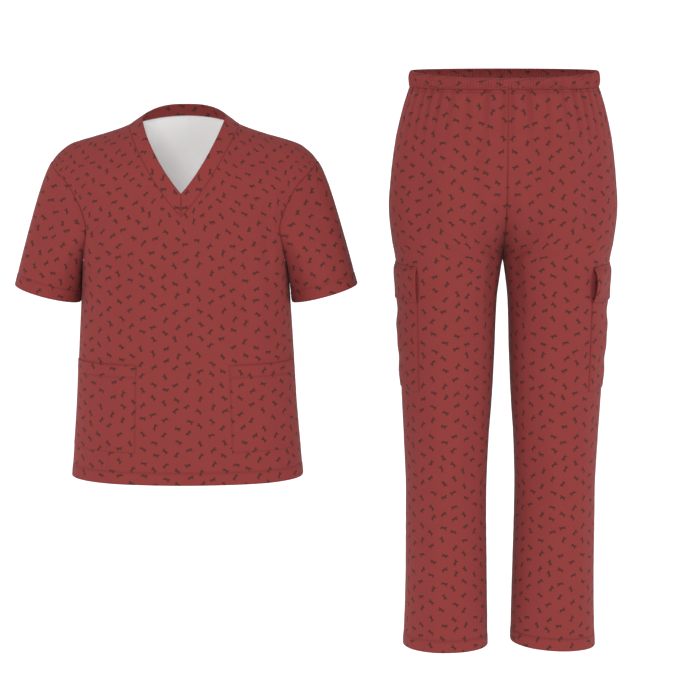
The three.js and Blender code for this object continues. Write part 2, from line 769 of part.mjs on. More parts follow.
addPiece(trousers, 'waistband', clothGeometry({
  surface: waistSurface,
  us: evenSteps(0, 2 * Math.PI, waistColumns),
  vs: [0, 0.3, 0.7, 1],
  around: true,
  thickness: waistWall,
}));

export default scrubs;
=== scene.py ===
import math
from types import SimpleNamespace

import bmesh
import bpy
from mathutils import Matrix, Vector, noise


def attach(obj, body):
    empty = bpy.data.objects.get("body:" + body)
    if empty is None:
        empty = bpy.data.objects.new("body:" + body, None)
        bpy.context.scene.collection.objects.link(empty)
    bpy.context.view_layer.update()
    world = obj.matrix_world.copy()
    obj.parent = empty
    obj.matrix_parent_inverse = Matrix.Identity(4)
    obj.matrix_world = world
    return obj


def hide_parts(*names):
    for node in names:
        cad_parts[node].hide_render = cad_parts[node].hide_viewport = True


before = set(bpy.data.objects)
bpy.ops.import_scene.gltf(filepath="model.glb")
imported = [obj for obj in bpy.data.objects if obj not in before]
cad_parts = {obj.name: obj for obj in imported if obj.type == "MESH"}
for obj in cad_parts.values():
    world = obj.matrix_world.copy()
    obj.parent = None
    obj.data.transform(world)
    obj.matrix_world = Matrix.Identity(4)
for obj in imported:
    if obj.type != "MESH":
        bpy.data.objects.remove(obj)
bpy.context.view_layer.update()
print("frame loaded:", len(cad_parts), "solids")

# Small sums

def mix(a, b, share):
    return a + (b - a) * share


def clamp(value, low=0.0, high=1.0):
    return max(low, min(high, value))


def ease(value, low=0.0, high=1.0):  # 0 below low, 1 above high, smooth between
    share = clamp((value - low) / (high - low))
    return share * share * (3 - 2 * share)


def hill(distance, width):  # 1 at its middle, fading over its width
    return math.exp(-((distance / width) ** 2))


def between(z, top, bottom):  # 1 between two heights, fading over the outer thirds
    fade = (top - bottom) / 3
    return ease(z, bottom, bottom + fade) * (1 - ease(z, top - fade, top))


class Sections:  # named columns, read at a place along the first one on a smooth curve
    def __init__(self, **columns):
        self.places = next(iter(columns.values()))
        self.columns = {name: (values, self.slopes(values)) for name, values in columns.items()}

    def slopes(self, values):
        steps = [(b - a) / (q - p) for a, b, p, q in zip(values, values[1:], self.places, self.places[1:])]
        inner = [2 * a * b / (a + b) if a * b > 0 else 0.0 for a, b in zip(steps, steps[1:])]
        return [steps[0], *inner, steps[-1]]

    def read(self, name, place):
        at = clamp(place, self.places[0], self.places[-1])
        k = 0
        while k < len(self.places) - 2 and at > self.places[k + 1]:
            k += 1
        values, slopes = self.columns[name]
        span = self.places[k + 1] - self.places[k]
        t = (at - self.places[k]) / span
        start = values[k] * (2 * t**3 - 3 * t**2 + 1) + slopes[k] * span * (t**3 - 2 * t**2 + t)
        return start + values[k + 1] * (3 * t**2 - 2 * t**3) + slopes[k + 1] * span * (t**3 - t**2)


# Sheets of cloth: each is a grid whose corners go to their places on the garment

cloth = {
    "thickness": 0.0008,
    "fold": 0.0018,  # from the outer face of a hem to its turned face
    "foldAngles": (30, 60, 90, 120, 150),
    "cell": 0.004,
    "closeCell": 0.003,
    "closeSteps": (0.0006, 0.0014, 0.0026, 0.0044),  # rows beside an edge
    "leastRun": 0.001,  # points nearer than this don't give a direction
    "merge": 0.0003,
    "join": 0.000001,
    "besideStitch": 0.0012,
    "seamDip": 0.0007,
    "seamWidth": 0.0017,
    "allowance": 0.0028,  # how far the cloth behind the waist seam goes on and inwards
    "stitchDip": 0.0004,
    "stitchWidth": 0.0011,
    "hemStands": 0.0004,
    "lineWidth": 0.0013,
    "pucker": 0.0004,
    "puckerLength": 0.012,
    "puckerReach": 0.011,
    "broadWaves": (0.10, 0.24, 0.0024),  # length across, length up and height of the cloth's unevenness
    "fineWaves": (0.034, 0.095, 0.0007),
}


def stations(length, marks=(), cell=cloth["cell"]):
    # shares of a length: even steps, with closer ones at both ends and beside each mark
    fixed = {0.0, length}
    for step in cloth["closeSteps"]:
        fixed |= {step, length - step}
    for mark in marks:
        fixed |= {mark - cloth["besideStitch"], mark, mark + cloth["besideStitch"]}
    fixed = sorted(fixed)
    places = []
    for a, b in zip(fixed, fixed[1:]):
        count = max(1, round((b - a) / cell))
        places += [a + (b - a) * k / count for k in range(count)]
    return [place / length for place in places] + [1.0]


def byLength(curve, shares, count=400):
    # parameters from 0 to 1 where a curve has run these shares of its length
    points = [curve(k / count) for k in range(count + 1)]
    runs = [0.0]
    for a, b in zip(points, points[1:]):
        runs.append(runs[-1] + (b - a).length)
    found, k = [], 0
    for share in shares:
        while k < count - 1 and runs[k + 1] < share * runs[-1]:
            k += 1
        found.append((k + (share * runs[-1] - runs[k]) / (runs[k + 1] - runs[k])) / count)
    return found


def runAlong(points):
    runs = [0.0]
    for a, b in zip(points, points[1:]):
        runs.append(runs[-1] + (b - a).length)
    return runs


def runAt(points, k, closed=False):
    # the run from the point before to the point after, taken wider where points lie close together
    last = len(points) - 1
    if closed and k in (0, last):
        return points[1] - points[last - 1]
    low, high = max(k - 1, 0), min(k + 1, last)
    while (points[high] - points[low]).length < cloth["leastRun"] and high - low < last:
        low, high = max(low - 1, 0), min(high + 1, last)
    return points[high] - points[low]


def layCloth(surface, us, vs, outward=1, closed=False, lift=None):
    # points and normals of a sheet, with the distance of each from the sheet's four edges
    points = [[surface(u, v) for u in us] for v in vs]
    columns = list(zip(*points))
    acrossRuns = [runAlong(row) for row in points]
    upRuns = [runAlong(column) for column in columns]
    sheet = SimpleNamespace(points=[], normals=[], spots=[], outward=outward, closed=closed)
    for j, v in enumerate(vs):
        row, normals, spots = [], [], []
        for i, u in enumerate(us):
            normal = runAt(points[j], i, closed).cross(runAt(columns[i], j)).normalized() * outward
            spot = SimpleNamespace(
                u=u, v=v, i=i, point=points[j][i],
                left=acrossRuns[j][i], right=acrossRuns[j][-1] - acrossRuns[j][i],
                low=upRuns[i][j], high=upRuns[i][-1] - upRuns[i][j],
            )
            row.append(points[j][i] + normal * (lift(spot) if lift else 0))
            normals.append(normal)
            spots.append(spot)
        sheet.points.append(row)
        sheet.normals.append(normals)
        sheet.spots.append(spots)
    return sheet


def foldPush(folds, across, z):  # how far soft folds push the cloth out
    push = 0
    for place, lean, width, depth, top, low in folds:
        push += depth * hill(across - place - lean * (z - top), width) * between(z, top, low)
    return push


def awayFrom(*distances):  # 0 on a seam, where both its pieces meet on one line, and 1 away from it
    return 1 - hill(min(distances), cloth["seamWidth"])


def pucker(distance, along):  # small waves beside a stitch line
    wave = noise.noise(Vector((along / cloth["puckerLength"], 4.7, 0)))
    return cloth["pucker"] * wave * math.exp(-abs(distance) / cloth["puckerReach"])


def groove(distance):  # the line that a row of stitches presses into the cloth
    return -cloth["stitchDip"] * hill(distance, cloth["stitchWidth"])


def hemLift(distance, depth, along):  # the turned cloth of a hem stands a little higher than the rest
    turnedIn = 1 - ease(distance, depth - 2 * cloth["lineWidth"], depth)
    return cloth["hemStands"] * turnedIn + groove(distance - depth) + pucker(distance - depth, along)


# painted shade: darker lines along seams, folded edges and stitch rows where shadow gathers, with the
# stitch holes' own darker colour
def paintedShadeLines(*lines):  # each has its strength, the edges that it follows and its distance from them
    def shade(spot):
        darkness = 0
        for strength, edges, distance in lines:
            nearest = min(getattr(spot, edge) for edge in edges.split())
            darkness = max(darkness, strength * hill(nearest - distance, cloth["lineWidth"]))
        return darkness

    return shade


def printFrom(place, sign=1):  # the print on a piece that is cut from this place of the cloth
    across, apart, up = place
    return lambda spot: (spot.left + across + sign * apart, spot.low + up)


def turnedRows(sheet, end, depth, fold):
    # rows of the cloth that is folded in at an edge, each with the number of the row that it lies behind
    order = list(range(len(sheet.points)))
    if end == "high":
        order.reverse()
    edge, beyond = order[0], order[1]
    rows = []
    for angle in cloth["foldAngles"]:
        turn = math.radians(angle)
        row = []
        ends = zip(sheet.points[edge], sheet.normals[edge], sheet.points[beyond])
        for point, normal, inner in ends:
            out = (point - inner).normalized()
            row.append(point + (normal * (math.cos(turn) - 1) + out * math.sin(turn)) * fold / 2)
        rows.append((row, edge))
    for j in order[1:]:
        spots = sheet.spots[j]
        distance = getattr(spots[len(spots) // 2], end)
        if distance < cloth["leastRun"]:
            continue
        if distance > depth:
            break
        rows.append(([p - n * fold for p, n in zip(sheet.points[j], sheet.normals[j])], j))
    return rows


def addObject(name, data):
    made = bpy.data.objects.new(name, data)
    bpy.context.scene.collection.objects.link(made)
    return made


def addMesh(name, bm, *materials):  # an object made of a finished bmesh
    mesh = bpy.data.meshes.new(name)
    bm.to_mesh(mesh)
    bm.free()
    for material in materials:
        mesh.materials.append(material)
    return addObject(name, mesh)


def tuckedIn(point, beside, normal):  # the edge of a seam allowance: on past the seam and inwards
    return point + ((point - beside).normalized() - normal) * cloth["allowance"]


def makeSheet(name, sheet, printAt, shadeAt, turned=None, tucked=(), layers="pale reverse"):
    # turned: (end, depth, fold) of a hem; tucked: an end whose seam allowance goes inwards;
    # layers: "pale reverse", "doubled" where both faces are printed, or "sewn down" with no inner face
    rows = [
        (points, [printAt(spot) for spot in spots], [shadeAt(spot) for spot in spots])
        for points, spots in zip(sheet.points, sheet.spots)
    ]
    if turned:
        end, depth, fold = turned
        edge = 0 if end == "low" else -1
        extra = []
        for points, j in turnedRows(sheet, end, depth, fold):
            prints = [(a[0], 2 * a[1] - b[1]) for a, b in zip(rows[edge][1], rows[j][1])]
            extra.append((points, prints, [0.0] * len(points)))
        rows = extra[::-1] + rows if end == "low" else rows + extra
    for edge, j, beside in (("low", 0, 1), ("high", -1, -2)):
        if edge in tucked:
            ends = zip(sheet.points[j], sheet.points[beside], sheet.normals[j])
            # the tucked seam allowance is painted in full seam shade
            row = ([tuckedIn(*end) for end in ends], rows[j][1], [1.0] * len(rows[j][1]))
            rows = [row] + rows if edge == "low" else rows + [row]

    bm = bmesh.new()
    printLayer = bm.loops.layers.uv.new("print")
    # painted shade of seams, edges and gathers for the printed face, and the overlock thread for the
    # reverse
    shadeLayer = bm.verts.layers.float.new("paintedShadeAndOverlock")
    across, up = len(rows[0][0]) - 1, len(rows) - 1
    bmesh.ops.create_grid(bm, x_segments=across, y_segments=up, size=0.5)
    prints = {}
    for vert in bm.verts:
        i, j = round((vert.co.x + 0.5) * across), round((vert.co.y + 0.5) * up)
        vert.co = rows[j][0][i]
        vert[shadeLayer] = rows[j][2][i]
        prints[vert] = rows[j][1][i]
    for face in bm.faces:
        face.smooth = True
        for loop in face.loops:
            loop[printLayer].uv = prints[loop.vert]
    if sheet.outward < 0:
        bmesh.ops.reverse_faces(bm, faces=bm.faces)
    if sheet.closed:
        bmesh.ops.remove_doubles(bm, verts=bm.verts, dist=cloth["join"])
    inside = [vert for vert in bm.verts if not vert.is_boundary]  # edges stay on their seam lines
    bmesh.ops.remove_doubles(bm, verts=inside, dist=cloth["merge"])
    piece = addMesh(name, bm, printedCloth, paleReverse)
    if layers != "sewn down":
        wall = piece.modifiers.new("cloth thickness", "SOLIDIFY")
        wall.thickness = cloth["fold"] if layers == "doubled" else cloth["thickness"]
        wall.offset = -1
        wall.material_offset = 0 if layers == "doubled" else 1
    faces = piece.data.polygons
    print(f"{name}: {len(faces)} faces, {sum(face.area for face in faces):.4f} m2")
    return piece


# Materials

class Wire:  # an output socket, so that shader sums are written as Python
    def __init__(self, tree, socket=None):
        self.tree = tree
        self.socket = socket

    def node(self, kind, settings, values, output=0):
        made = self.tree.nodes.new("ShaderNode" + kind)
        for name, value in settings.items():
            setattr(made, name, value)
        for name, value in values.items():
            if isinstance(value, Wire):
                self.tree.links.new(value.socket, made.inputs[name])
            else:
                made.inputs[name].default_value = value
        return Wire(self.tree, made.outputs[output])

    def maths(self, operation, *values):
        return self.node("Math", {"operation": operation}, dict(enumerate(values)))

    def vectors(self, operation, *values, output=0):
        return self.node("VectorMath", {"operation": operation}, dict(enumerate(values)), output)

    def blend(self, factor, a, b):
        settings = {"data_type": "RGBA", "blend_type": "MIX"}
        return self.node("Mix", settings, {"Factor": factor, 6: a, 7: b}, 2)

    def __add__(self, other):
        return self.maths("ADD", self, other)

    def __sub__(self, other):
        return self.maths("SUBTRACT", self, other)

    def __rsub__(self, other):
        return self.maths("SUBTRACT", other, self)

    def __mul__(self, other):
        return self.maths("MULTIPLY", self, other)

    def __truediv__(self, other):
        return self.maths("DIVIDE", self, other)

    def __rtruediv__(self, other):
        return self.maths("DIVIDE", other, self)

    __radd__ = __add__
    __rmul__ = __mul__


def newMaterial(name):
    material = bpy.data.materials.new(name)
    material.use_nodes = True
    return material, Wire(material.node_tree), material.node_tree.nodes["Principled BSDF"]


def feed(shader, socket, wire):
    wire.tree.links.new(wire.socket, shader.inputs[socket])


weave = {
    "thread": 0.45,  # millimetres from one thread to the next
    "relief": 0.00005,
    "strength": 0.5,
    "fibres": (1.3, 1.2),  # scale and height of the fine fuzz
    "patches": 0.02,  # scale of the paler patches
    "roughnessSpread": 0.12,
    "sheen": 0.03,
    "sheenRoughness": 0.5,
    "specular": 0.15,
}

motif = {
    "pitch": (21.0, 26.6),  # millimetres between columns of running animals, and along a column
    "jitter": (6.5, 9.0),
    "lean": 0.68,
    "leanSpread": 0.95,
    "edge": 0.22,
    # each limb as start x, y, end x, y and radius, in millimetres
    "trunk": (-3.0, 0.2, 2.6, 0.5, 1.8),
    "neck": (2.6, 0.8, 4.1, 2.2, 1.3),
    "head": (4.1, 2.3, 5.2, 1.8, 1.0),
    "tail": (-3.4, 0.7, -5.0, 1.3, 0.8),
    "foreLegs": ((2.4, -0.2, 3.7, -2.3, 0.95), (2.0, -0.4, 2.3, -2.6, 0.85)),
    "hindLegs": ((-2.8, -0.1, -4.1, -2.2, 1.0), (-2.4, -0.3, -3.0, -2.6, 0.85)),
    "blend": 0.5,
}


def limb(wire, place, sizes):  # distance in millimetres from a rounded bar
    startX, startY, endX, endY, radius = sizes
    run = (endX - startX, endY - startY, 0)
    square = run[0] ** 2 + run[1] ** 2
    fromStart = wire.vectors("SUBTRACT", place, (startX, startY, 0))
    share = wire.vectors("DOT_PRODUCT", fromStart, tuple(r / square for r in run), output=1)
    held = wire.node("Clamp", {}, {"Value": share})
    nearest = wire.node("VectorMath", {"operation": "SCALE"}, {0: run, "Scale": held})
    apart = wire.vectors("SUBTRACT", fromStart, nearest)
    return wire.vectors("LENGTH", apart, output=1) - radius


def runningAnimals(wire, x, y):  # 1 on a small running animal, one to each cell of a staggered layout
    pitchX, pitchY = motif["pitch"]
    columnAt = x / pitchX
    column = wire.maths("FLOOR", columnAt)
    rowAt = y / pitchY + column * 0.5
    row = wire.maths("FLOOR", rowAt)
    cell = wire.node("CombineXYZ", {}, {0: column, 1: row})
    chance = wire.node("TexWhiteNoise", {"noise_dimensions": "2D"}, {"Vector": cell}, 1)
    throw = [wire.node("SeparateColor", {}, {0: chance}, k) for k in range(3)]
    side = wire.node("TexWhiteNoise", {"noise_dimensions": "2D"}, {"Vector": cell}, 0)
    offX = (columnAt - column - 0.5) * pitchX - (throw[0] - 0.5) * motif["jitter"][0]
    offY = (rowAt - row - 0.5) * pitchY - (throw[1] - 0.5) * motif["jitter"][1]
    lean = wire.maths("GREATER_THAN", throw[2], 0.5) * (2 * motif["lean"]) - motif["lean"]
    angle = lean + (wire.maths("FRACT", throw[2] * 17.3) - 0.5) * motif["leanSpread"]
    cosine, sine = wire.maths("COSINE", angle), wire.maths("SINE", angle)
    facing = wire.maths("GREATER_THAN", side, 0.5) * 2 - 1
    along = (offX * cosine + offY * sine) * facing
    upright = offY * cosine - offX * sine
    place = wire.node("CombineXYZ", {}, {0: along, 1: upright})
    stride = wire.maths("FRACT", side * 7.31) * 0.9 - 0.15
    forePlace = wire.node("CombineXYZ", {}, {0: along + upright * stride, 1: upright})
    hindPlace = wire.node("CombineXYZ", {}, {0: along - upright * stride, 1: upright})
    shape = limb(wire, place, motif["trunk"])
    for part in ("neck", "head", "tail"):
        shape = wire.maths("SMOOTH_MIN", shape, limb(wire, place, motif[part]), motif["blend"])
    for legs, where in (("foreLegs", forePlace), ("hindLegs", hindPlace)):
        for leg in motif[legs]:
            shape = wire.maths("SMOOTH_MIN", shape, limb(wire, where, leg), motif["blend"])
    limits = {0: shape, 1: motif["edge"], 2: -motif["edge"], 3: 0.0, 4: 1.0}
    return wire.node("MapRange", {"interpolation_type": "SMOOTHSTEP"}, limits)


def weaveHeight(wire, x, y):  # a fine twill of crossing threads
    turn = 2 * math.pi / weave["thread"]
    diagonal = wire.maths("SINE", (x + y) * (turn / 2))
    threads = wire.maths("SINE", x * turn) * wire.maths("SINE", y * turn)
    return diagonal * 0.6 + threads * 0.4


def clothShader(name, makeColor, roughness):
    material, wire, shader = newMaterial(name)
    fibreScale, fibreHeight = weave["fibres"]
    flat = wire.node("UVMap", {"uv_map": "print"}, {})
    millimetres = wire.node("VectorMath", {"operation": "SCALE"}, {0: flat, "Scale": 1000.0})
    x, y = (wire.node("SeparateXYZ", {}, {0: millimetres}, k) for k in range(2))
    # painted shade of seams, edges and gathers on the printed face; the overlock thread on the reverse
    shade = wire.node("Attribute", {"attribute_name": "paintedShadeAndOverlock"}, {}, 2)
    broad = wire.node("TexNoise", {}, {"Vector": millimetres, "Scale": weave["patches"], "Detail": 3.0}, 0)
    fine = wire.node("TexNoise", {}, {"Vector": millimetres, "Scale": fibreScale, "Detail": 2.0}, 0)
    feed(shader, "Base Color", makeColor(wire, x, y, shade, broad, fine))
    feed(shader, "Roughness", roughness + (fine - 0.5) * weave["roughnessSpread"])
    height = weaveHeight(wire, x, y) + (fine - 0.5) * fibreHeight
    settings = {"Height": height, "Distance": weave["relief"], "Strength": weave["strength"]}
    feed(shader, "Normal", wire.node("Bump", {}, settings))
    shader.inputs["Sheen Weight"].default_value = weave["sheen"]
    shader.inputs["Sheen Roughness"].default_value = weave["sheenRoughness"]
    shader.inputs["Specular IOR Level"].default_value = weave["specular"]
    return material


colours = {
    "red": (0.178, 0.0240, 0.0229, 1),
    "redWorn": (0.195, 0.0298, 0.0288, 1),
    "ink": (0.044, 0.0140, 0.0110, 1),
    # painted shade: the dark red of the painted seam, edge and stitch-row shadows, also the darker strands
    # of the thread
    "seam": (0.10, 0.0095, 0.0095, 1),
    "reverse": (0.93, 0.925, 0.92, 1),
    "reverseWorn": (0.8, 0.79, 0.785, 1),
    "thread": (0.135, 0.0155, 0.0155, 1),
}


def printedColor(wire, x, y, shade, broad, fine):
    ground = wire.blend(broad * 0.6 + fine * 0.25, colours["red"], colours["redWorn"])
    inked = wire.blend(runningAnimals(wire, x, y) * (0.8 + fine * 0.2), ground, colours["ink"])
    # painted shade: seams, edges and gather valleys darkened towards the seam red
    return wire.blend(shade * 0.6, inked, colours["seam"])


def reverseColor(wire, x, y, shade, broad, fine):
    worn = wire.blend(broad * 0.15, colours["reverse"], colours["reverseWorn"])
    # the red overlock thread along the seams inside
    return wire.blend(shade, worn, colours["thread"])


printedCloth = clothShader("printed cloth", printedColor, 0.82)
paleReverse = clothShader("unprinted reverse", reverseColor, 0.9)

threadMaterial, threadWire, threadShader = newMaterial("sewing thread")
strand = threadWire.node("TexCoord", {}, {}, 3)
twist = threadWire.node("TexNoise", {}, {"Vector": strand, "Scale": 900.0, "Detail": 1.0}, 0)
feed(threadShader, "Base Color", threadWire.blend(twist, colours["thread"], colours["seam"]))
feed(threadShader, "Roughness", 0.5 + twist * 0.2)
print("materials made")

# Sewing thread: one small rounded stitch after another along a line on the cloth

thread = {
    "long": 0.0026,
    "apart": 0.0009,
    "wide": 0.0005,
    "high": 0.0004,
    "proud": 0.25,  # share of its height by which a stitch's middle stands above the cloth
    "around": 6,
    "rings": 3,
}
sewn = {"top": bmesh.new(), "trousers": bmesh.new()}
leftAndRight = (("Left", 1), ("Right", -1))


def sew(garment, points, normals):
    long, apart = thread["long"], thread["apart"]
    runs = runAlong(points)
    row = bmesh.new()
    place, k = apart, 0
    while place + long < runs[-1]:
        middle = place + long / 2
        while runs[k + 1] < middle:
            k += 1
        share = (middle - runs[k]) / (runs[k + 1] - runs[k])
        spot = points[k].lerp(points[k + 1], share)
        normal = normals[k].lerp(normals[k + 1], share).normalized()
        along = (points[k + 1] - points[k]).normalized()
        side = normal.cross(along)
        turn = Matrix((along, side, normal)).transposed().to_4x4()
        size = Matrix.Diagonal((long / 2, thread["wide"] / 2, thread["high"] / 2, 1))
        where = Matrix.Translation(spot + normal * thread["high"] * thread["proud"]) @ turn @ size
        around, rings = thread["around"], thread["rings"]
        bmesh.ops.create_uvsphere(row, u_segments=around, v_segments=rings, radius=1, matrix=where)
        place += long + apart
    mesh = bpy.data.meshes.new("stitch row")
    row.to_mesh(mesh)
    row.free()
    sewn[garment].from_mesh(mesh)
    bpy.data.meshes.remove(mesh)


def sewRows(garment, sheet, *rows):  # each row of stitches runs at a distance from one edge of a sheet
    for edge, distance in rows:
        grids = [sheet.spots, sheet.points, sheet.normals]
        if edge in ("left", "right"):
            grids = [list(zip(*grid)) for grid in grids]
        spots, points, normals = grids
        misses = [abs(getattr(row[len(row) // 2], edge) - distance) for row in spots]
        nearest = misses.index(min(misses))
        sew(garment, points[nearest], normals[nearest])


def dress(piece, node):
    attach(piece, "root")
    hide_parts(node)


# Body of the top

body = {
    "hemZ": -0.658,
    "underarmZ": -0.255,
    "shoulderX": 0.242,
    "shoulderZ": -0.078,
    "shoulderY": 0.008,
    "roundness": 2.4,
    "archRoundness": 2.6,
    "edgePower": 40,  # how close to the armhole its own curve takes over
    "foldReach": 14,  # how close to the side seams the folds run
    "printTurnZ": -0.080,  # where the level print turns to run over the shoulders
    "armholeFront": 0.64,
    "armholeBack": 0.56,
    "armholeRise": 0.065,
    "innerRise": (-0.08, 0.075),  # from below to above the underarm, where the round side opens
    "armholeRun": 0.245,  # rough lengths, which set how many rows and columns there are
    "neckRun": 0.19,
    "flankRun": 0.18,
    "hem": 0.022,
    "frontFlat": (0.60, 0.70),
    "frontArea": 0.36,
    "backFlat": (0.60, 0.74),
    "backArea": 0.39,
}
bodyWidths = Sections(
    z=(-0.658, -0.601, -0.520, -0.440, -0.338, -0.255),
    half=(0.214, 0.209, 0.2025, 0.198, 0.192, 0.187),
    front=(0.121, 0.119, 0.117, 0.116, 0.117, 0.118),
    back=(0.115, 0.111, 0.107, 0.106, 0.111, 0.115),
)
armholeLine = Sections(
    z=(-0.255, -0.227, -0.195, -0.169, -0.138, -0.121, -0.104, -0.088, -0.078),
    x=(0.187, 0.179, 0.1745, 0.1805, 0.195, 0.205, 0.220, 0.236, 0.242),
)
ridge = Sections(
    x=(0, 0.025, 0.050, 0.0775, 0.1016, 0.1415, 0.191, 0.209, 0.229, 0.242),
    z=(0.043, 0.038, 0.0255, 0.0037, -0.0125, -0.027, -0.0415, -0.048, -0.063, -0.078),
)
# soft folds: place, lean, width, depth, and the heights where each fades out
frontFolds = [
    (-0.104, 0.05, 0.017, -0.005, -0.190, -0.440),
    (-0.140, -0.04, 0.020, 0.004, -0.200, -0.470),
    (-0.062, 0.02, 0.020, 0.003, -0.260, -0.640),
    (0.108, -0.03, 0.018, -0.004, -0.200, -0.420),
    (0.074, -0.02, 0.022, 0.003, -0.240, -0.560),
    (0.146, 0.04, 0.020, 0.0035, -0.220, -0.500),
    (-0.167, 0, 0.0055, 0.0035, -0.110, -0.290),
    (0.167, 0, 0.0055, 0.0035, -0.110, -0.290),
    (-0.148, 0.02, 0.008, -0.0025, -0.130, -0.310),
    (0.149, -0.02, 0.008, -0.0025, -0.130, -0.320),
]
backFolds = [
    (-0.112, 0.05, 0.022, -0.004, -0.180, -0.560),
    (-0.020, -0.03, 0.026, 0.003, -0.260, -0.640),
    (0.098, -0.06, 0.022, -0.005, -0.210, -0.600),
    (-0.168, 0, 0.006, 0.003, -0.120, -0.290),
    (0.168, 0, 0.006, 0.003, -0.120, -0.280),
]


def unevenCloth(across, z, seed):  # shallow unevenness, longer up and down than across
    push = 0
    for (wide, long, high), shift in ((cloth["broadWaves"], 0), (cloth["fineWaves"], 7.3)):
        push += high * noise.noise(Vector((across / wide, seed + shift, z / long)))
    return push


def ridgeZ(x):
    return ridge.read("z", abs(x))


def sideX(z):
    if z <= body["underarmZ"]:
        return bodyWidths.read("half", z)
    if z >= body["shoulderZ"]:
        return body["shoulderX"]
    return armholeLine.read("x", z)


def bodyY(x, z, face):  # how far the front (face -1) or back (face 1) stands from the side seams' plane
    share = clamp(abs(x) / sideX(z))
    depth = bodyWidths.read("front" if face < 0 else "back", z)
    roundness = body["roundness"]
    full = (1 - share**roundness) ** (1 / roundness)
    edgeShare = body["armholeFront"] if face < 0 else body["armholeBack"]
    open = 1 - (1 - edgeShare) * share**3
    rise = clamp((z - body["underarmZ"]) / body["armholeRise"])
    edgeBlend = math.sqrt(1 - (1 - rise) ** 2)
    innerBlend = ease(z - body["underarmZ"], *body["innerRise"])
    blend = mix(innerBlend, edgeBlend, share ** body["edgePower"])
    climb = clamp((z - body["underarmZ"]) / (ridgeZ(x) - body["underarmZ"]))
    arch = math.sqrt(max(0.0, 1 - climb ** body["archRoundness"]))
    return body["shoulderY"] * ease(climb) + face * depth * mix(full, open, blend) * arch


neck = {
    "seamX": 0.1016,
    "edgeX": 0.0775,
    "frontSeamZ": -0.170,
    "frontEdgeZ": -0.130,
    "backSeamZ": 0.002,
    "backEdgeZ": 0.022,
    "backEdgeY": 0.064,
    "seamBow": 0.34,
    "edgeBow": 0.3,
    "edgeTurn": 0.06,
    "fold": 0.0024,
    "puff": 0.0005,
    "backArch": 3.0,
    "width": 0.034,
    "printPlace": (0.31, 0.02),
    "frontFlat": (0.075, 0.225),
    "backFlat": (0.06, 0.25),
}


def frontSeamZ(x):
    share = x / neck["seamX"]
    return mix(neck["frontSeamZ"], ridgeZ(neck["seamX"]), mix(share, share**2, neck["seamBow"]))


def frontEdgeZ(x):
    share = x / neck["edgeX"]
    climb = mix(share, share**2, neck["edgeBow"]) - neck["edgeTurn"] * (share - share**8)
    return mix(neck["frontEdgeZ"], ridgeZ(neck["edgeX"]), climb)


def backSeamZ(x):
    return mix(neck["backSeamZ"], ridgeZ(neck["seamX"]), (x / neck["seamX"]) ** 2)


def bodySurface(face):
    # u runs from the wearer's right side seam (-1) to the left (1),
    # v from the hem (0) over the underarm (1) to the top (2)
    folds = frontFolds if face < 0 else backFolds
    seamZ = frontSeamZ if face < 0 else backSeamZ
    bottom = body["underarmZ"]

    def surface(u, v):
        share = math.copysign(abs(math.sin(u * math.pi / 2)) ** (2 / body["roundness"]), u)
        if v <= 1:
            z = mix(body["hemZ"], bottom, v)
            x = share * sideX(z)
        else:
            climb = math.sin((v - 1) * math.pi / 2)
            topX = abs(share) * body["shoulderX"]
            topZ = seamZ(topX) if topX <= neck["seamX"] else ridgeZ(topX)
            z = mix(bottom, topZ, climb)
            x = share * sideX(mix(bottom, body["shoulderZ"], climb))
        push = unevenCloth(x, z, 3.1 * face) + foldPush(folds, x, z)
        calm = (1 - abs(share) ** body["foldReach"]) * ease(2 - v, 0.0, 0.3)
        return Vector((x, bodyY(x, z, face) + face * push * calm, z))

    return surface


frontBody, backBody = bodySurface(-1), bodySurface(1)


def angleOf(share):  # u of a column that runs at this share of the half width
    return math.asin(share ** (body["roundness"] / 2)) * 2 / math.pi


# body rows above the underarm are also the sleeve's columns, and those near the middle the neckband's
armholeSteps = stations(body["armholeRun"], cell=cloth["closeCell"])
armholeTurns = byLength(lambda turn: frontBody(1, 1 + turn), armholeSteps)
lowerRows = [v for v in stations(body["underarmZ"] - body["hemZ"], [body["hem"]]) if v < 1]
bodyRows = lowerRows + [1 + turn for turn in armholeTurns]
neckU = angleOf(neck["seamX"] / body["shoulderX"])
neckShares = byLength(lambda t: frontBody(neckU * t, 2), stations(body["neckRun"]))
neckColumns = [neckU * t for t in neckShares]
flankShares = byLength(lambda t: frontBody(mix(neckU, 1, t), 0), stations(body["flankRun"]))
halfColumns = neckColumns[:-1] + [mix(neckU, 1, t) for t in flankShares]
bodyColumns = [-u for u in halfColumns[:0:-1]] + halfColumns


def bodyLift(spot):
    sides = min(spot.left, spot.right)
    lift = cloth["seamDip"] + pucker(sides, spot.low) + pucker(spot.high, spot.left)
    return awayFrom(sides, spot.high) * (lift + hemLift(spot.low, body["hem"], spot.left))


bodyShade = paintedShadeLines((1, "left right high", 0), (0.7, "low", body["hem"]), (0.5, "low", 0))


def bodyPrint(sheet):  # the print runs level up to the shoulders, then true along each column
    turnZ = body["printTurnZ"]
    column = [row[len(neckColumns) // 2] for row in sheet.spots][::6]  # every sixth height is enough
    heights = Sections(z=[spot.point.z for spot in column], length=[spot.low for spot in column])
    turnAt = []
    for spots in zip(*sheet.spots):
        below = [spot for spot in spots if spot.point.z <= turnZ][-1]
        turnAt.append(below.low + turnZ - below.point.z)

    def printAt(spot):
        level = heights.read("length", min(spot.point.z, turnZ))
        return (spot.left - spot.right) / 2, level + max(0, spot.low - turnAt[spot.i])

    return printAt


for place, surface, outward in (("front", frontBody, 1), ("back", backBody, -1)):
    panel = layCloth(surface, bodyColumns, bodyRows, outward, lift=bodyLift)
    hem = ("low", body["hem"], cloth["fold"])
    piece = makeSheet(place + "Panel", panel, bodyPrint(panel), bodyShade, hem)
    sewRows("top", panel, ("low", body["hem"]))
    dress(piece, "top_" + place)
print("body of the top made")

# Neckband: doubled cloth, folded at its free edge


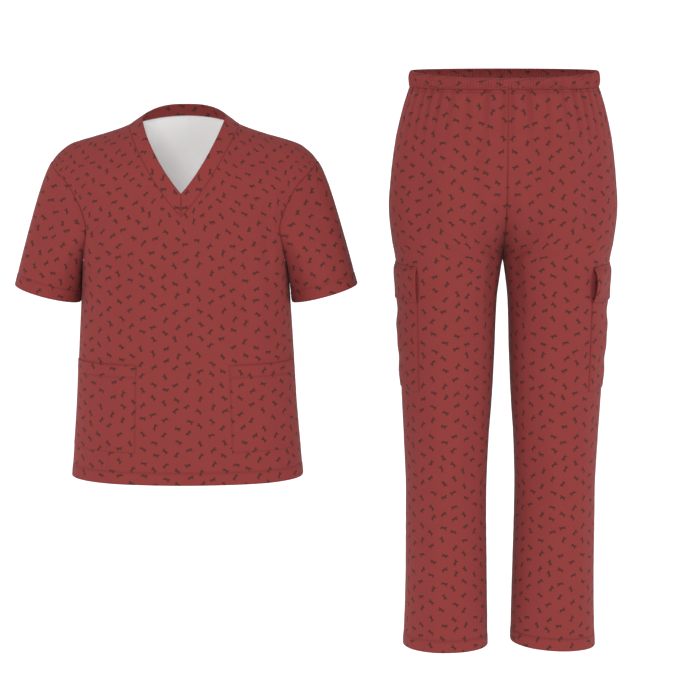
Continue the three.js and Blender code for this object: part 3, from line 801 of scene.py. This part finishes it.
def frontBand(a, b):  # a from the middle (0) to the shoulder (1), b from the seam (0) to the free edge (1)
    swing = math.sin(a * math.pi / 2)
    seamX, edgeX = neck["seamX"] * swing, neck["edgeX"] * swing
    x = mix(seamX, edgeX, b)
    z = ridgeZ(x) - mix(ridgeZ(seamX) - frontSeamZ(seamX), ridgeZ(edgeX) - frontEdgeZ(edgeX), b)
    return Vector((x, bodyY(x, z, -1), z))


def backBand(a, b):  # a from the wearer's right shoulder (-1) over the middle to the left (1)
    swing = math.sin(a * math.pi / 2)
    seamX = neck["seamX"] * swing
    seamZ = backSeamZ(abs(seamX))
    seam = Vector((seamX, bodyY(seamX, seamZ, 1), seamZ))
    edge = Vector((
        neck["edgeX"] * swing,
        mix(neck["backEdgeY"], body["shoulderY"], 1 - math.cos(a * math.pi / 2)),
        mix(neck["backEdgeZ"], ridgeZ(neck["edgeX"]), abs(swing) ** neck["backArch"]),
    ))
    point = seam.lerp(edge, b)
    straightZ = mix(ridgeZ(neck["seamX"]), ridgeZ(neck["edgeX"]), b)
    ownZ = ridgeZ(mix(neck["seamX"], neck["edgeX"], b))
    point.z -= (straightZ - ownZ) * ease(abs(a), 0.6, 1)
    return point


def bandLift(spot):
    ends = min(spot.left, spot.right)
    puff = neck["puff"] * math.sin(math.pi * clamp(spot.low / (spot.low + spot.high)))
    lift = cloth["seamDip"] + puff + pucker(ends, spot.low) + pucker(spot.low, spot.left)
    return awayFrom(ends, spot.low) * lift


bandShade = paintedShadeLines((1, "left right low", 0), (0.5, "high", 0))


def bandPrint(sheet):  # true to the cloth: along the seam, and square to it
    seam = sheet.spots[0]
    alongs = [runAt([spot.point for spot in seam], i).normalized() for i in range(len(seam))]

    def printAt(spot):
        across = spot.point - seam[spot.i].point
        on = across.dot(alongs[spot.i])
        square = (across - alongs[spot.i] * on).length
        return seam[spot.i].left + on + neck["printPlace"][0], square + neck["printPlace"][1]

    return printAt


bandSteps = stations(neck["width"], cell=cloth["closeCell"])
bandColumns = [math.asin(clamp(frontBody(u, 2).x / neck["seamX"])) * 2 / math.pi for u in neckColumns]
for side, sign in leftAndRight:
    mirror = Vector((sign, 1, 1))
    band = layCloth(lambda a, b: frontBand(a, b) * mirror, bandColumns, bandSteps, sign, lift=bandLift)
    doubled = ("high", neck["width"], neck["fold"])
    piece = makeSheet("neckband" + side, band, bandPrint(band), bandShade, doubled)
    dress(piece, "top_neckband_" + side.lower())
columns = [-a for a in bandColumns[:0:-1]] + bandColumns
band = layCloth(backBand, columns, bandSteps, -1, lift=bandLift)
doubled = ("high", 2 * neck["width"], neck["fold"])
piece = makeSheet("neckbandBack", band, bandPrint(band), bandShade, doubled)
dress(piece, "top_neckband_back")
print("neckband made")

# Sleeves

sleeve = {
    "cuff": Vector((0.2555, 0.005, -0.3205)),
    "halfWidth": 0.062,
    "halfDepth": 0.070,
    "tilt": math.radians(15.3),
    "clear": 0.0032,
    "ease": 0.36,
    "capEase": 0.35,
    "turnAngles": (3, 11, 22, 35, 48, 60, 70, 80, 90),
    "underarmWay": Vector((0.12, 0, -1)),  # how the cloth leaves the armhole at the underarm
    "sideWay": Vector((0.8, 0, -0.6)),  # and a little above it
    "sink": Vector((0, 0, -1.3)),
    "run": 0.25,
    "hem": 0.022,
    "printPlace": (0.5, 0.11),
    "middle": Vector((0.242, 0, -0.160)),
    "flat": (0.45, 0.27),
    "area": 0.086,
}
# place round the armhole, lean, width, depth, and reach along the sleeve
sleeveFolds = [
    (0.42, -0.1, 0.12, -0.004, 0.05, 0.8),
    (0.68, 0.05, 0.12, 0.003, 0.25, 1),
    (1.45, 0.1, 0.14, -0.004, 0.05, 0.85),
]
cuffOut = Vector((math.cos(sleeve["tilt"]), 0, math.sin(sleeve["tilt"])))
cuffDown = Vector((math.sin(sleeve["tilt"]), 0, -math.cos(sleeve["tilt"])))


def armhole(turn):  # underarm 0, front, shoulder tip 1, back, underarm 2
    return frontBody(1, 1 + turn) if turn <= 1 else backBody(1, 3 - turn)


def cuffTurns(back):  # the cuff's angle that each point of the armhole leads to
    turns = [0, *(angle / 90 for angle in sleeve["turnAngles"])]
    runs = runAlong([armhole(2 - turn if back else turn) for turn in turns])
    return Sections(turn=turns, angle=[math.pi * run / runs[-1] for run in runs])


frontTurns, backTurns = cuffTurns(False), cuffTurns(True)


def sleeveStart(turn):  # folded down at the underarm, in line with the body above it
    height = turn if turn <= 1 else 2 - turn
    surface = frontBody if turn <= 1 else backBody
    along = (surface(1, 1 + height) - surface(0.999, 1 + height)).normalized()
    along = (along + sleeve["sink"] * (1 - ease(height, 0.45, 1))).normalized()
    start = sleeve["underarmWay"].lerp(sleeve["sideWay"], ease(height, 0, 0.16))
    return start.lerp(along, ease(height, 0.25, 0.65)).normalized()


def sleeveEnds(around):  # the four points of the curve from armhole to cuff
    height = around if around <= 1 else 2 - around
    start = armhole(around)
    angle = (frontTurns if around <= 1 else backTurns).read("angle", height)
    end = sleeve["cuff"] - cuffOut * sleeve["halfWidth"] * math.cos(angle)
    end.y += (-1 if around <= 1 else 1) * sleeve["halfDepth"] * math.sin(angle)
    reach = (end - start).length * sleeve["ease"]
    leave = start + sleeveStart(around) * reach * mix(1, sleeve["capEase"], ease(height, 0.5, 1))
    return start, leave, end - cuffDown * reach, end


sleeveCurves = {}


def sleeveSurface(turn, v):
    around = turn % 2
    if around not in sleeveCurves:
        sleeveCurves[around] = sleeveEnds(around)
    a, b, c, d = sleeveCurves[around]
    point = a * (1 - v) ** 3 + b * 3 * v * (1 - v) ** 2 + c * 3 * v**2 * (1 - v) + d * v**3
    push = unevenCloth(math.sin(math.pi * around) * 0.1, v * 0.25 + around * 0.05, 5.9) * ease(v, 0, 0.2)
    for place, lean, width, depth, start, end in sleeveFolds:
        reach = math.sin(math.pi * clamp((v - start) / (end - start)))
        push += depth * hill(around - place - lean * v, width) * reach
    point += (point - sleeve["middle"].lerp(sleeve["cuff"], v)).normalized() * push
    depth = bodyWidths.read("front" if point.y < 0 else "back", point.z)
    full = (1 - clamp(abs(point.y) / depth) ** body["roundness"]) ** (1 / body["roundness"])
    point.x = max(point.x, sideX(point.z) * full + sleeve["clear"] * ease(v, 0, 0.25))
    return point


def sleeveLift(spot):
    lift = cloth["seamDip"] + pucker(spot.low, spot.left) + hemLift(spot.high, sleeve["hem"], spot.left)
    return awayFrom(spot.low) * lift


sleeveShade = paintedShadeLines((1, "low", 0), (0.7, "high", sleeve["hem"]), (0.5, "high", 0))
around = armholeTurns + [2 - turn for turn in armholeTurns[-2::-1]]
along = byLength(lambda t: sleeveSurface(1, t), stations(sleeve["run"], [sleeve["run"] - sleeve["hem"]]))
for side, sign in leftAndRight:
    mirror = Vector((sign, 1, 1))
    tube = layCloth(lambda u, v: sleeveSurface(u, v) * mirror, around, along, -sign, True, sleeveLift)
    cuffRun = [spot.left for spot in tube.spots[-1]]
    up = sleeve["printPlace"][0] + sign * sleeve["printPlace"][1]
    piece = makeSheet(
        "sleeve" + side, tube, lambda spot: (cuffRun[spot.i], up + spot.high), sleeveShade,
        ("high", sleeve["hem"], cloth["fold"]),
    )
    sewRows("top", tube, ("high", sleeve["hem"]))
    dress(piece, "top_sleeve_" + side.lower())
print("sleeves made")

# Patch pockets of the top

patch = {
    "topZ": -0.440,
    "bottomZ": -0.601,
    "side": 0.93,
    "wall": 0.0014,
    "puff": 0.0014,
    "hem": 0.022,
    "hemFold": 0.0012,
    "printPlace": (0.7, 0.13, 0.1),
    "flat": (0.13, 0.19),
}
pocketEdge = {"cell": 0.0035, "stitch": 0.002, "turn": 0.0007, "under": 0.0002}
stitch = pocketEdge["stitch"]


def levelV(z):
    return (z - body["hemZ"]) / (body["underarmZ"] - body["hemZ"])


def pocketColumns(surface, level, first, last, stitch):  # even along one level, closer beside the stitches
    def curve(t):
        return surface(mix(first, last, t), level)

    wide = runAlong([curve(k / 200) for k in range(201)])[-1]
    shares = stations(wide, [stitch, wide - stitch], pocketEdge["cell"])
    return [mix(first, last, t) for t in byLength(curve, shares)]


def pocketRows(bottom, top, low, high):  # heights, closer beside the stitches this far from both ends
    tall = top - bottom
    return [mix(bottom, top, t) for t in stations(tall, [low, tall - high], pocketEdge["cell"])]


def pressedEdge(edge, wall):  # an edge pressed down on what lies under it, with its stitch line
    return pocketEdge["under"] + wall * (1 - math.exp(-edge / pocketEdge["turn"])) + groove(edge - stitch)


def patchLift(spot):
    across = clamp(min(spot.left, spot.right) / (spot.left + spot.right) * 2)
    up = spot.low / (spot.low + spot.high)
    slack = patch["puff"] * math.sin(math.pi / 2 * across) ** 0.8 * ease(up, 0, 1.2)
    edge = min(spot.left, spot.right, spot.low)
    return pressedEdge(edge, patch["wall"]) + slack + hemLift(spot.high, patch["hem"], spot.left)


patchShade = paintedShadeLines(
    (0.7, "left right low", 0), (0.35, "left right low", stitch),
    (0.5, "high", 0), (0.5, "high", patch["hem"]),
)
for side, sign in leftAndRight:
    inner, outer = sorted((sign * neckU, sign * patch["side"]))
    middle = levelV((patch["topZ"] + patch["bottomZ"]) / 2)
    columns = pocketColumns(frontBody, middle, inner, outer, stitch)
    rows = [levelV(z) for z in pocketRows(patch["bottomZ"], patch["topZ"], stitch, patch["hem"])]
    pocket = layCloth(frontBody, columns, rows, lift=patchLift)
    piece = makeSheet(
        "pocket" + side, pocket, printFrom(patch["printPlace"], sign), patchShade,
        ("high", patch["hem"], patch["hemFold"]), layers="sewn down",
    )
    sewRows("top", pocket, ("high", patch["hem"]), ("low", stitch), ("left", stitch), ("right", stitch))
    dress(piece, "top_pocket_" + side.lower())
print("patch pockets made")

# Trousers

trousers = {
    "x": 0.5825,
    "waistZ": 0.056,
    "hipZ": -0.1,
    "crotchZ": -0.248,
    "hemZ": -0.985,
    "hemEaseZ": -0.900,
    "seatHold": 4,
    "fold": 0.0046,
    "gathers": 10,
    "stray": 1.6,
    # strength of the painted shade in the gathers' valleys
    "valleyShade": 0.5,
    "hem": 0.022,
    "waistStitch": 0.005,
    "cell": 0.005,
    "panelRun": 0.30,
    "printPlace": 1.3,
    "frontFlat": (0.33, 1.09),
    "frontArea": 0.27,
    "backFlat": (0.36, 1.09),
    "backArea": 0.29,
}
trouserWidths = Sections(
    z=(-0.985, -0.903, -0.826, -0.700, -0.597, -0.522, -0.428, -0.338, -0.276, -0.248, -0.223, -0.160,
       -0.113, -0.040, 0.015, 0.056),
    half=(0.180, 0.1767, 0.1755, 0.1755, 0.1795, 0.1835, 0.1875, 0.1905, 0.194, 0.198, 0.203, 0.209, 0.206,
          0.197, 0.185, 0.1725),
    inner=(0.022, 0.0235, 0.025, 0.027, 0.024, 0.0186, 0.014, 0.011, 0.004, 0, 0, 0, 0, 0, 0, 0),
    front=(0.076, 0.077, 0.079, 0.082, 0.086, 0.090, 0.097, 0.103, 0.110, 0.113, 0.116, 0.121, 0.123,
           0.124, 0.124, 0.122),
    back=(0.082, 0.083, 0.085, 0.088, 0.091, 0.096, 0.104, 0.115, 0.127, 0.134, 0.141, 0.150, 0.150,
          0.143, 0.133, 0.125),
)
# folds as on the top, but placed by their share of the panel from outseam to centre seam
trouserFrontFolds = [
    (0.8, 0, 0.05, -0.005, 0.040, -0.420),
    (0.9, 0, 0.05, 0.0025, 0.030, -0.230),
    (0.62, 0, 0.07, 0.0035, 0.020, -0.330),
    (0.45, 0, 0.06, -0.003, 0.010, -0.250),
    (0.5, 0, 0.1, 0.003, -0.560, -0.780),
    (0.7, 0, 0.1, -0.003, -0.520, -0.700),
]
trouserBackFolds = [
    (0.74, 0, 0.07, -0.005, 0.030, -0.380),
    (0.55, 0, 0.07, 0.003, 0.020, -0.300),
    (0.84, 0, 0.06, -0.004, -0.200, -0.460),
    (0.5, 0, 0.1, -0.004, -0.540, -0.720),
]


def gathered(u, z, face):  # how deep the folds under the waistband are: broad rounds, narrow valleys
    turn = u * trousers["gathers"] * 2 * math.pi + trousers["stray"] * math.sin(u * 8) * face
    uneven = 0.75 + 0.25 * math.sin(u * 11) * face
    return (0.5 - 0.5 * math.cos(turn)) ** 3 * ease(z, -0.080, 0.050) * uneven


def trouserSurface(face, sign, hemRise):
    # u from the outseam (0) to the centre seam or inseam (1), z the height
    folds = trouserFrontFolds if face < 0 else trouserBackFolds
    crotch, waist = trousers["crotchZ"], trousers["waistZ"]

    def surface(u, z):
        half, inner = trouserWidths.read("half", z), trouserWidths.read("inner", z)
        depth = trouserWidths.read("front" if face < 0 else "back", z)
        down = clamp((waist - z) / (waist - crotch))
        parted = 1 - (1 - down ** trousers["seatHold"]) ** 2
        reach = half / (1 + parted) if z > crotch else (half - inner) / 2
        middle = half - reach
        angle = u * math.acos(-parted)
        push = foldPush(folds, u, z) - trousers["fold"] * gathered(u, z, face)
        seed = 12.7 + 5 * face + 2.9 * sign
        push += unevenCloth(u * 0.28, z, seed) * math.sin(math.pi * u) ** 0.5 * ease(-z, -0.05, 0.03)
        x = middle + reach * math.cos(angle)
        nearMiddle = ease(x, 0, 0.024) if z > crotch - 0.060 else 1
        away = Vector((math.cos(angle), face * math.sin(angle), 0))
        rise = hemRise * ease(-z, -trousers["hemEaseZ"], -trousers["hemZ"]) * (0.5 - 0.5 * away.x)
        point = Vector((x, depth * away.y, z + rise)) + away * push * nearMiddle
        return Vector((sign * point.x + trousers["x"], point.y, point.z))

    return surface


def trouserLift(spot):
    sides = min(spot.left, spot.right)
    lift = cloth["seamDip"] + pucker(sides, spot.low) + groove(spot.high - trousers["waistStitch"])
    return awayFrom(sides, spot.high) * (lift + hemLift(spot.low, trousers["hem"], spot.left))


trouserShadeLines = paintedShadeLines(
    (1, "left right", 0), (0.5, "low", 0), (0.7, "high", 0),
    (0.7, "low", trousers["hem"]), (0.7, "high", trousers["waistStitch"]),
)


# painted shade in the valleys of the gathers under the waistband, over the painted seam lines
def trouserShade(face):
    return lambda spot: max(trouserShadeLines(spot), trousers["valleyShade"] * gathered(spot.u, spot.v, face))


def trouserPrint(spot):
    return (spot.left - spot.right) / 2 + trousers["printPlace"], spot.point.z


halves = [("Left", 1, 0.009), ("Right", -1, 0.001)]
height = trousers["waistZ"] - trousers["hemZ"]
shares = stations(height, [trousers["hem"], height - trousers["waistStitch"]], trousers["cell"])
levels = [mix(trousers["hemZ"], trousers["waistZ"], share) for share in shares]
legs = {}
for side, sign, hemRise in halves:
    for place, face in (("Front", -1), ("Back", 1)):
        surface = legs[side, place] = trouserSurface(face, sign, hemRise)
        columns = byLength(lambda t: surface(t, trousers["hipZ"]), stations(trousers["panelRun"]))
        leg = layCloth(surface, columns, levels, sign * face, lift=trouserLift)
        piece = makeSheet(
            f"leg{place}{side}", leg, trouserPrint, trouserShade(face),
            ("low", trousers["hem"], cloth["fold"]), ("high",),
        )
        sewRows("trousers", leg, ("low", trousers["hem"]), ("high", trousers["waistStitch"]))
        kind = place.lower()
        dress(piece, f"trousers_{kind}_{side.lower()}")
print("legs made")

# Cargo pockets and their flaps, which reach round the outseams

cargo = {
    "topZ": -0.276,
    "bottomZ": -0.495,
    "flapTopZ": -0.262,
    "flapBottomZ": -0.329,
    "reach": 4 / 14,  # share of a leg panel on each side of the outseam
    "puff": 0.0032,
    "wall": 0.0021,
    "hem": 0.018,
    "hemFold": 0.0016,
    "flapStitch": 0.006,
    "flapClear": 0.0006,
    "flapRound": 0.0012,
    "gapeWidth": 0.3,
    "gape": {"Left": 0.009, "Right": 0.0025},
    "printPlace": (2.1, 0.17, 0.13),
    "flapPrintPlace": (2.9, 0.17, 0.13),
    "flat": (0.17, 0.25),
    "flapFlat": (0.17, 0.09),
}


def legSide(side):  # across from the front (-1) over the outseam (0) to the back (1)
    def surface(across, z):
        return legs[side, "Front" if across < 0 else "Back"](abs(across) * cargo["reach"], z)

    return surface


def cargoSlack(across, z):
    down = (cargo["topZ"] - z) / (cargo["topZ"] - cargo["bottomZ"])
    bulge = math.cos(across * math.pi / 2) ** 0.6 * math.sin(math.pi * clamp(down, 0.12, 1)) ** 0.6
    ripple = 0.35 * math.sin(down * 15 + 2 * across) + 0.2 * math.sin(down * 31 - across)
    return cargo["puff"] * bulge * (0.8 + ripple)


def cargoLift(spot):
    edge = min(spot.left, spot.right, spot.low)
    slack = cargoSlack(spot.u, spot.v)
    return pressedEdge(edge, cargo["wall"]) + slack + hemLift(spot.high, cargo["hem"], spot.left)


def flapLift(side):
    def lift(spot):
        overPocket = ease(cargo["flapTopZ"] - spot.v, 0, cargo["flapTopZ"] - cargo["topZ"])
        down = (cargo["flapTopZ"] - spot.v) / (cargo["flapTopZ"] - cargo["flapBottomZ"])
        clear = cargoSlack(spot.u, min(spot.v, cargo["topZ"])) + cargo["wall"] + cargo["flapClear"]
        open = cargo["gape"][side] * hill(spot.u + 1, cargo["gapeWidth"]) * math.sin(math.pi * clamp(down))
        free = min(spot.left, spot.right, spot.low)
        stitched = groove(free - cargo["flapStitch"]) + groove(spot.high - cargo["flapStitch"])
        rounded = -cargo["flapRound"] * math.exp(-free / pocketEdge["turn"])
        return pressedEdge(spot.high, cargo["wall"]) + clear * overPocket + open + stitched + rounded

    return lift


cargoShade = paintedShadeLines(
    (1, "left right low", 0), (0.35, "left right low", stitch), (0.6, "high", cargo["hem"]),
)
flapShade = paintedShadeLines(
    (1, "high", 0), (0.7, "left right low", 0),
    (0.35, "left right low", cargo["flapStitch"]), (0.35, "high", cargo["flapStitch"]),
)
for side, sign, hemRise in halves:
    surface = legSide(side)
    middle = (cargo["topZ"] + cargo["bottomZ"]) / 2
    columns = pocketColumns(surface, middle, -1, 1, stitch)
    rows = pocketRows(cargo["bottomZ"], cargo["topZ"], stitch, cargo["hem"])
    pocket = layCloth(surface, columns, rows, sign, lift=cargoLift)
    piece = makeSheet(
        "cargoPocket" + side, pocket, printFrom(cargo["printPlace"], sign), cargoShade,
        ("high", cargo["hem"], cargo["hemFold"]), layers="sewn down",
    )
    sewRows("trousers", pocket, ("left", stitch), ("right", stitch), ("low", stitch))
    leg = "legFront" + side
    dress(piece, "cargo_pocket_" + side.lower())

    flapStitch = cargo["flapStitch"]
    columns = pocketColumns(surface, middle, -1, 1, flapStitch)
    rows = pocketRows(cargo["flapBottomZ"], cargo["flapTopZ"], flapStitch, flapStitch)
    flap = layCloth(surface, columns, rows, sign, lift=flapLift(side))
    flapPrint = printFrom(cargo["flapPrintPlace"], sign)
    piece = makeSheet("cargoFlap" + side, flap, flapPrint, flapShade, layers="doubled")
    sewRows("trousers", flap, ("low", flapStitch), ("high", stitch), ("high", flapStitch))
    dress(
        piece, "cargo_flap_" + side.lower(),
    )
print("cargo pockets made")

# Waistband: cloth gathered over elastic, folded at its top

waist = {
    "sideZ": 0.087,
    "frontZ": 0.077,
    "backZ": 0.086,
    "halfWidth": 0.171,
    "frontDepth": 0.122,
    "backDepth": 0.125,
    "dropPower": 0.8,
    "foldRadius": 0.002,
    "foldShare": 0.08,
    "puff": 0.0024,
    "topIn": 0.0022,
    "gathers": 206,
    "gatherDepth": 0.0012,
    "waves": 36,
    "waveDepth": 0.0005,
    "columns": 1030,
    "rows": (0, 0.03, 0.07, 0.13, 0.21, 0.3, 0.4, 0.5, 0.6, 0.7, 0.79, 0.86, 0.92, 0.96,
             1, 1.04, 1.08, 1.16, 1.3, 1.46, 1.62, 1.78, 1.9, 2),
    "printPlace": (3.3, 0, 0.2),
    "flat": (0.07, 1.15),
}


def waistSurface(turn, v):
    # turn goes once round from the wearer's left; v from the seam (0) over the fold (1) down inside (2)
    angle = 2 * math.pi * turn
    out = Vector((math.cos(angle), math.sin(angle), 0))
    before, behind = max(0, -out.y), max(0, out.y)
    topZ = mix(mix(waist["sideZ"], waist["frontZ"], before ** waist["dropPower"]), waist["backZ"], behind)
    depth = waist["frontDepth"] if out.y < 0 else waist["backDepth"]
    up = min(v, 2 - v)
    foldTurn = math.pi * clamp((v - 1 + waist["foldShare"]) / (2 * waist["foldShare"]))
    inset = waist["foldRadius"] * (1 - math.cos(foldTurn))
    z = mix(trousers["waistZ"], topZ - waist["foldRadius"], clamp(up / (1 - waist["foldShare"])))
    z += waist["foldRadius"] * math.sin(foldTurn)
    wave = math.cos(waist["waves"] * angle + 0.9 * math.sin(3 * angle) + 0.6 * math.sin(7 * angle))
    loose = Vector((out.x * 9, out.y * 9, up * 1.1))
    phase = 2.2 * math.sin(5 * angle) + 1.3 * math.sin(11 * angle + up) + 2.5 * noise.noise(loose)
    gather = math.cos(waist["gathers"] * angle + phase)
    strength = 0.75 + 0.6 * noise.noise(Vector((out.x * 17, out.y * 17, 3 + up * 2)))
    strength *= (1 - 0.25 * up) * ease(up, -0.4, 0.25)
    push = waist["puff"] * math.sin(math.pi * up) ** 0.7 - waist["topIn"] * up**6
    push += waist["waveDepth"] * wave + waist["gatherDepth"] * gather * strength
    return Vector((
        (waist["halfWidth"] + push - inset) * out.x + trousers["x"],
        (depth + push - inset) * out.y,
        z,
    ))


waistSeamShade = paintedShadeLines((0.7, "low", 0))


# painted shade along the waist seam and along the band's folded top edge
def waistShade(spot):
    return max(waistSeamShade(spot), 0.4 * hill(spot.v - 1, waist["foldShare"]))


columns = [k / waist["columns"] for k in range(waist["columns"] + 1)]
band = layCloth(waistSurface, columns, waist["rows"], 1, True)
bandPlace = printFrom(waist["printPlace"])
piece = makeSheet("waistBand", band, bandPlace, waistShade, None, ("low",), "sewn down")
dress(piece, "waistband")
print("waistband made")

# Camera, light and floor

studio = {
    "target": Vector((0.302, 0, -0.4278)),
    "distance": 4.44,
    "elevation": 8.6,
    "pixels": 2400.0,  # focal length in pixels of a 700 pixel frame
    "frame": 700.0,
    "sensor": 36.0,
    "sight": 1000,
    "floorZ": -1.4,
    "floorReach": 400.0,
    "floor": {
        "Base Color": (0.5, 0.5, 0.5, 1),
        "Roughness": 0.9,
        "Specular IOR Level": 0,
        "Emission Color": (1, 1, 1, 1),
        "Emission Strength": 0.75,
    },
    "world": 0.66,
    # azimuth from the front and elevation in degrees, strength, width in degrees
    "lights": {"front": (-8, 18, 1.0, 24), "left": (-72, 20, 1.1, 35), "right": (60, 20, 1.35, 35)},
}


def outwards(azimuth, elevation):  # in degrees from the front and from level
    a, e = math.radians(azimuth), math.radians(elevation)
    return Vector((math.sin(a) * math.cos(e), -math.cos(a) * math.cos(e), math.sin(e)))


def turnTo(made, direction, axis):
    made.rotation_mode = "QUATERNION"
    made.rotation_quaternion = direction.to_track_quat(axis, "Y")


camera = addObject("camera", bpy.data.cameras.new("camera"))
camera.data.sensor_width = studio["sensor"]
camera.data.lens = studio["pixels"] / studio["frame"] * studio["sensor"]
camera.data.clip_end = studio["sight"]
back = outwards(0, studio["elevation"])
camera.location = studio["target"] + back * studio["distance"]
turnTo(camera, -back, "-Z")
bpy.context.scene.camera = camera

floorMesh = bmesh.new()
bmesh.ops.create_grid(floorMesh, x_segments=1, y_segments=1, size=studio["floorReach"])
bmesh.ops.translate(floorMesh, verts=floorMesh.verts, vec=(0, 0, studio["floorZ"]))
floorMaterial, _, floorShader = newMaterial("pale floor")
for socket, value in studio["floor"].items():
    floorShader.inputs[socket].default_value = value
addMesh("floor", floorMesh, floorMaterial)

world = bpy.data.worlds.new("studio")
world.use_nodes = True
world.node_tree.nodes["Background"].inputs["Color"].default_value = (1, 1, 1, 1)
world.node_tree.nodes["Background"].inputs["Strength"].default_value = studio["world"]
bpy.context.scene.world = world
for name, (azimuth, elevation, strength, spread) in studio["lights"].items():
    light = addObject(name, bpy.data.lights.new(name, "SUN"))
    light.data.energy = strength
    light.data.angle = math.radians(spread)
    turnTo(light, outwards(azimuth, elevation), "Z")
bpy.context.scene.view_settings.view_transform = "Standard"
print("camera, light and floor made")

for garment, stitches in sewn.items():
    for face in stitches.faces:
        face.smooth = True
    piece = addMesh(garment + "Stitches", stitches, threadMaterial)
    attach(piece, "root")
    print(f"{garment}: {len(piece.data.polygons)} faces of thread")
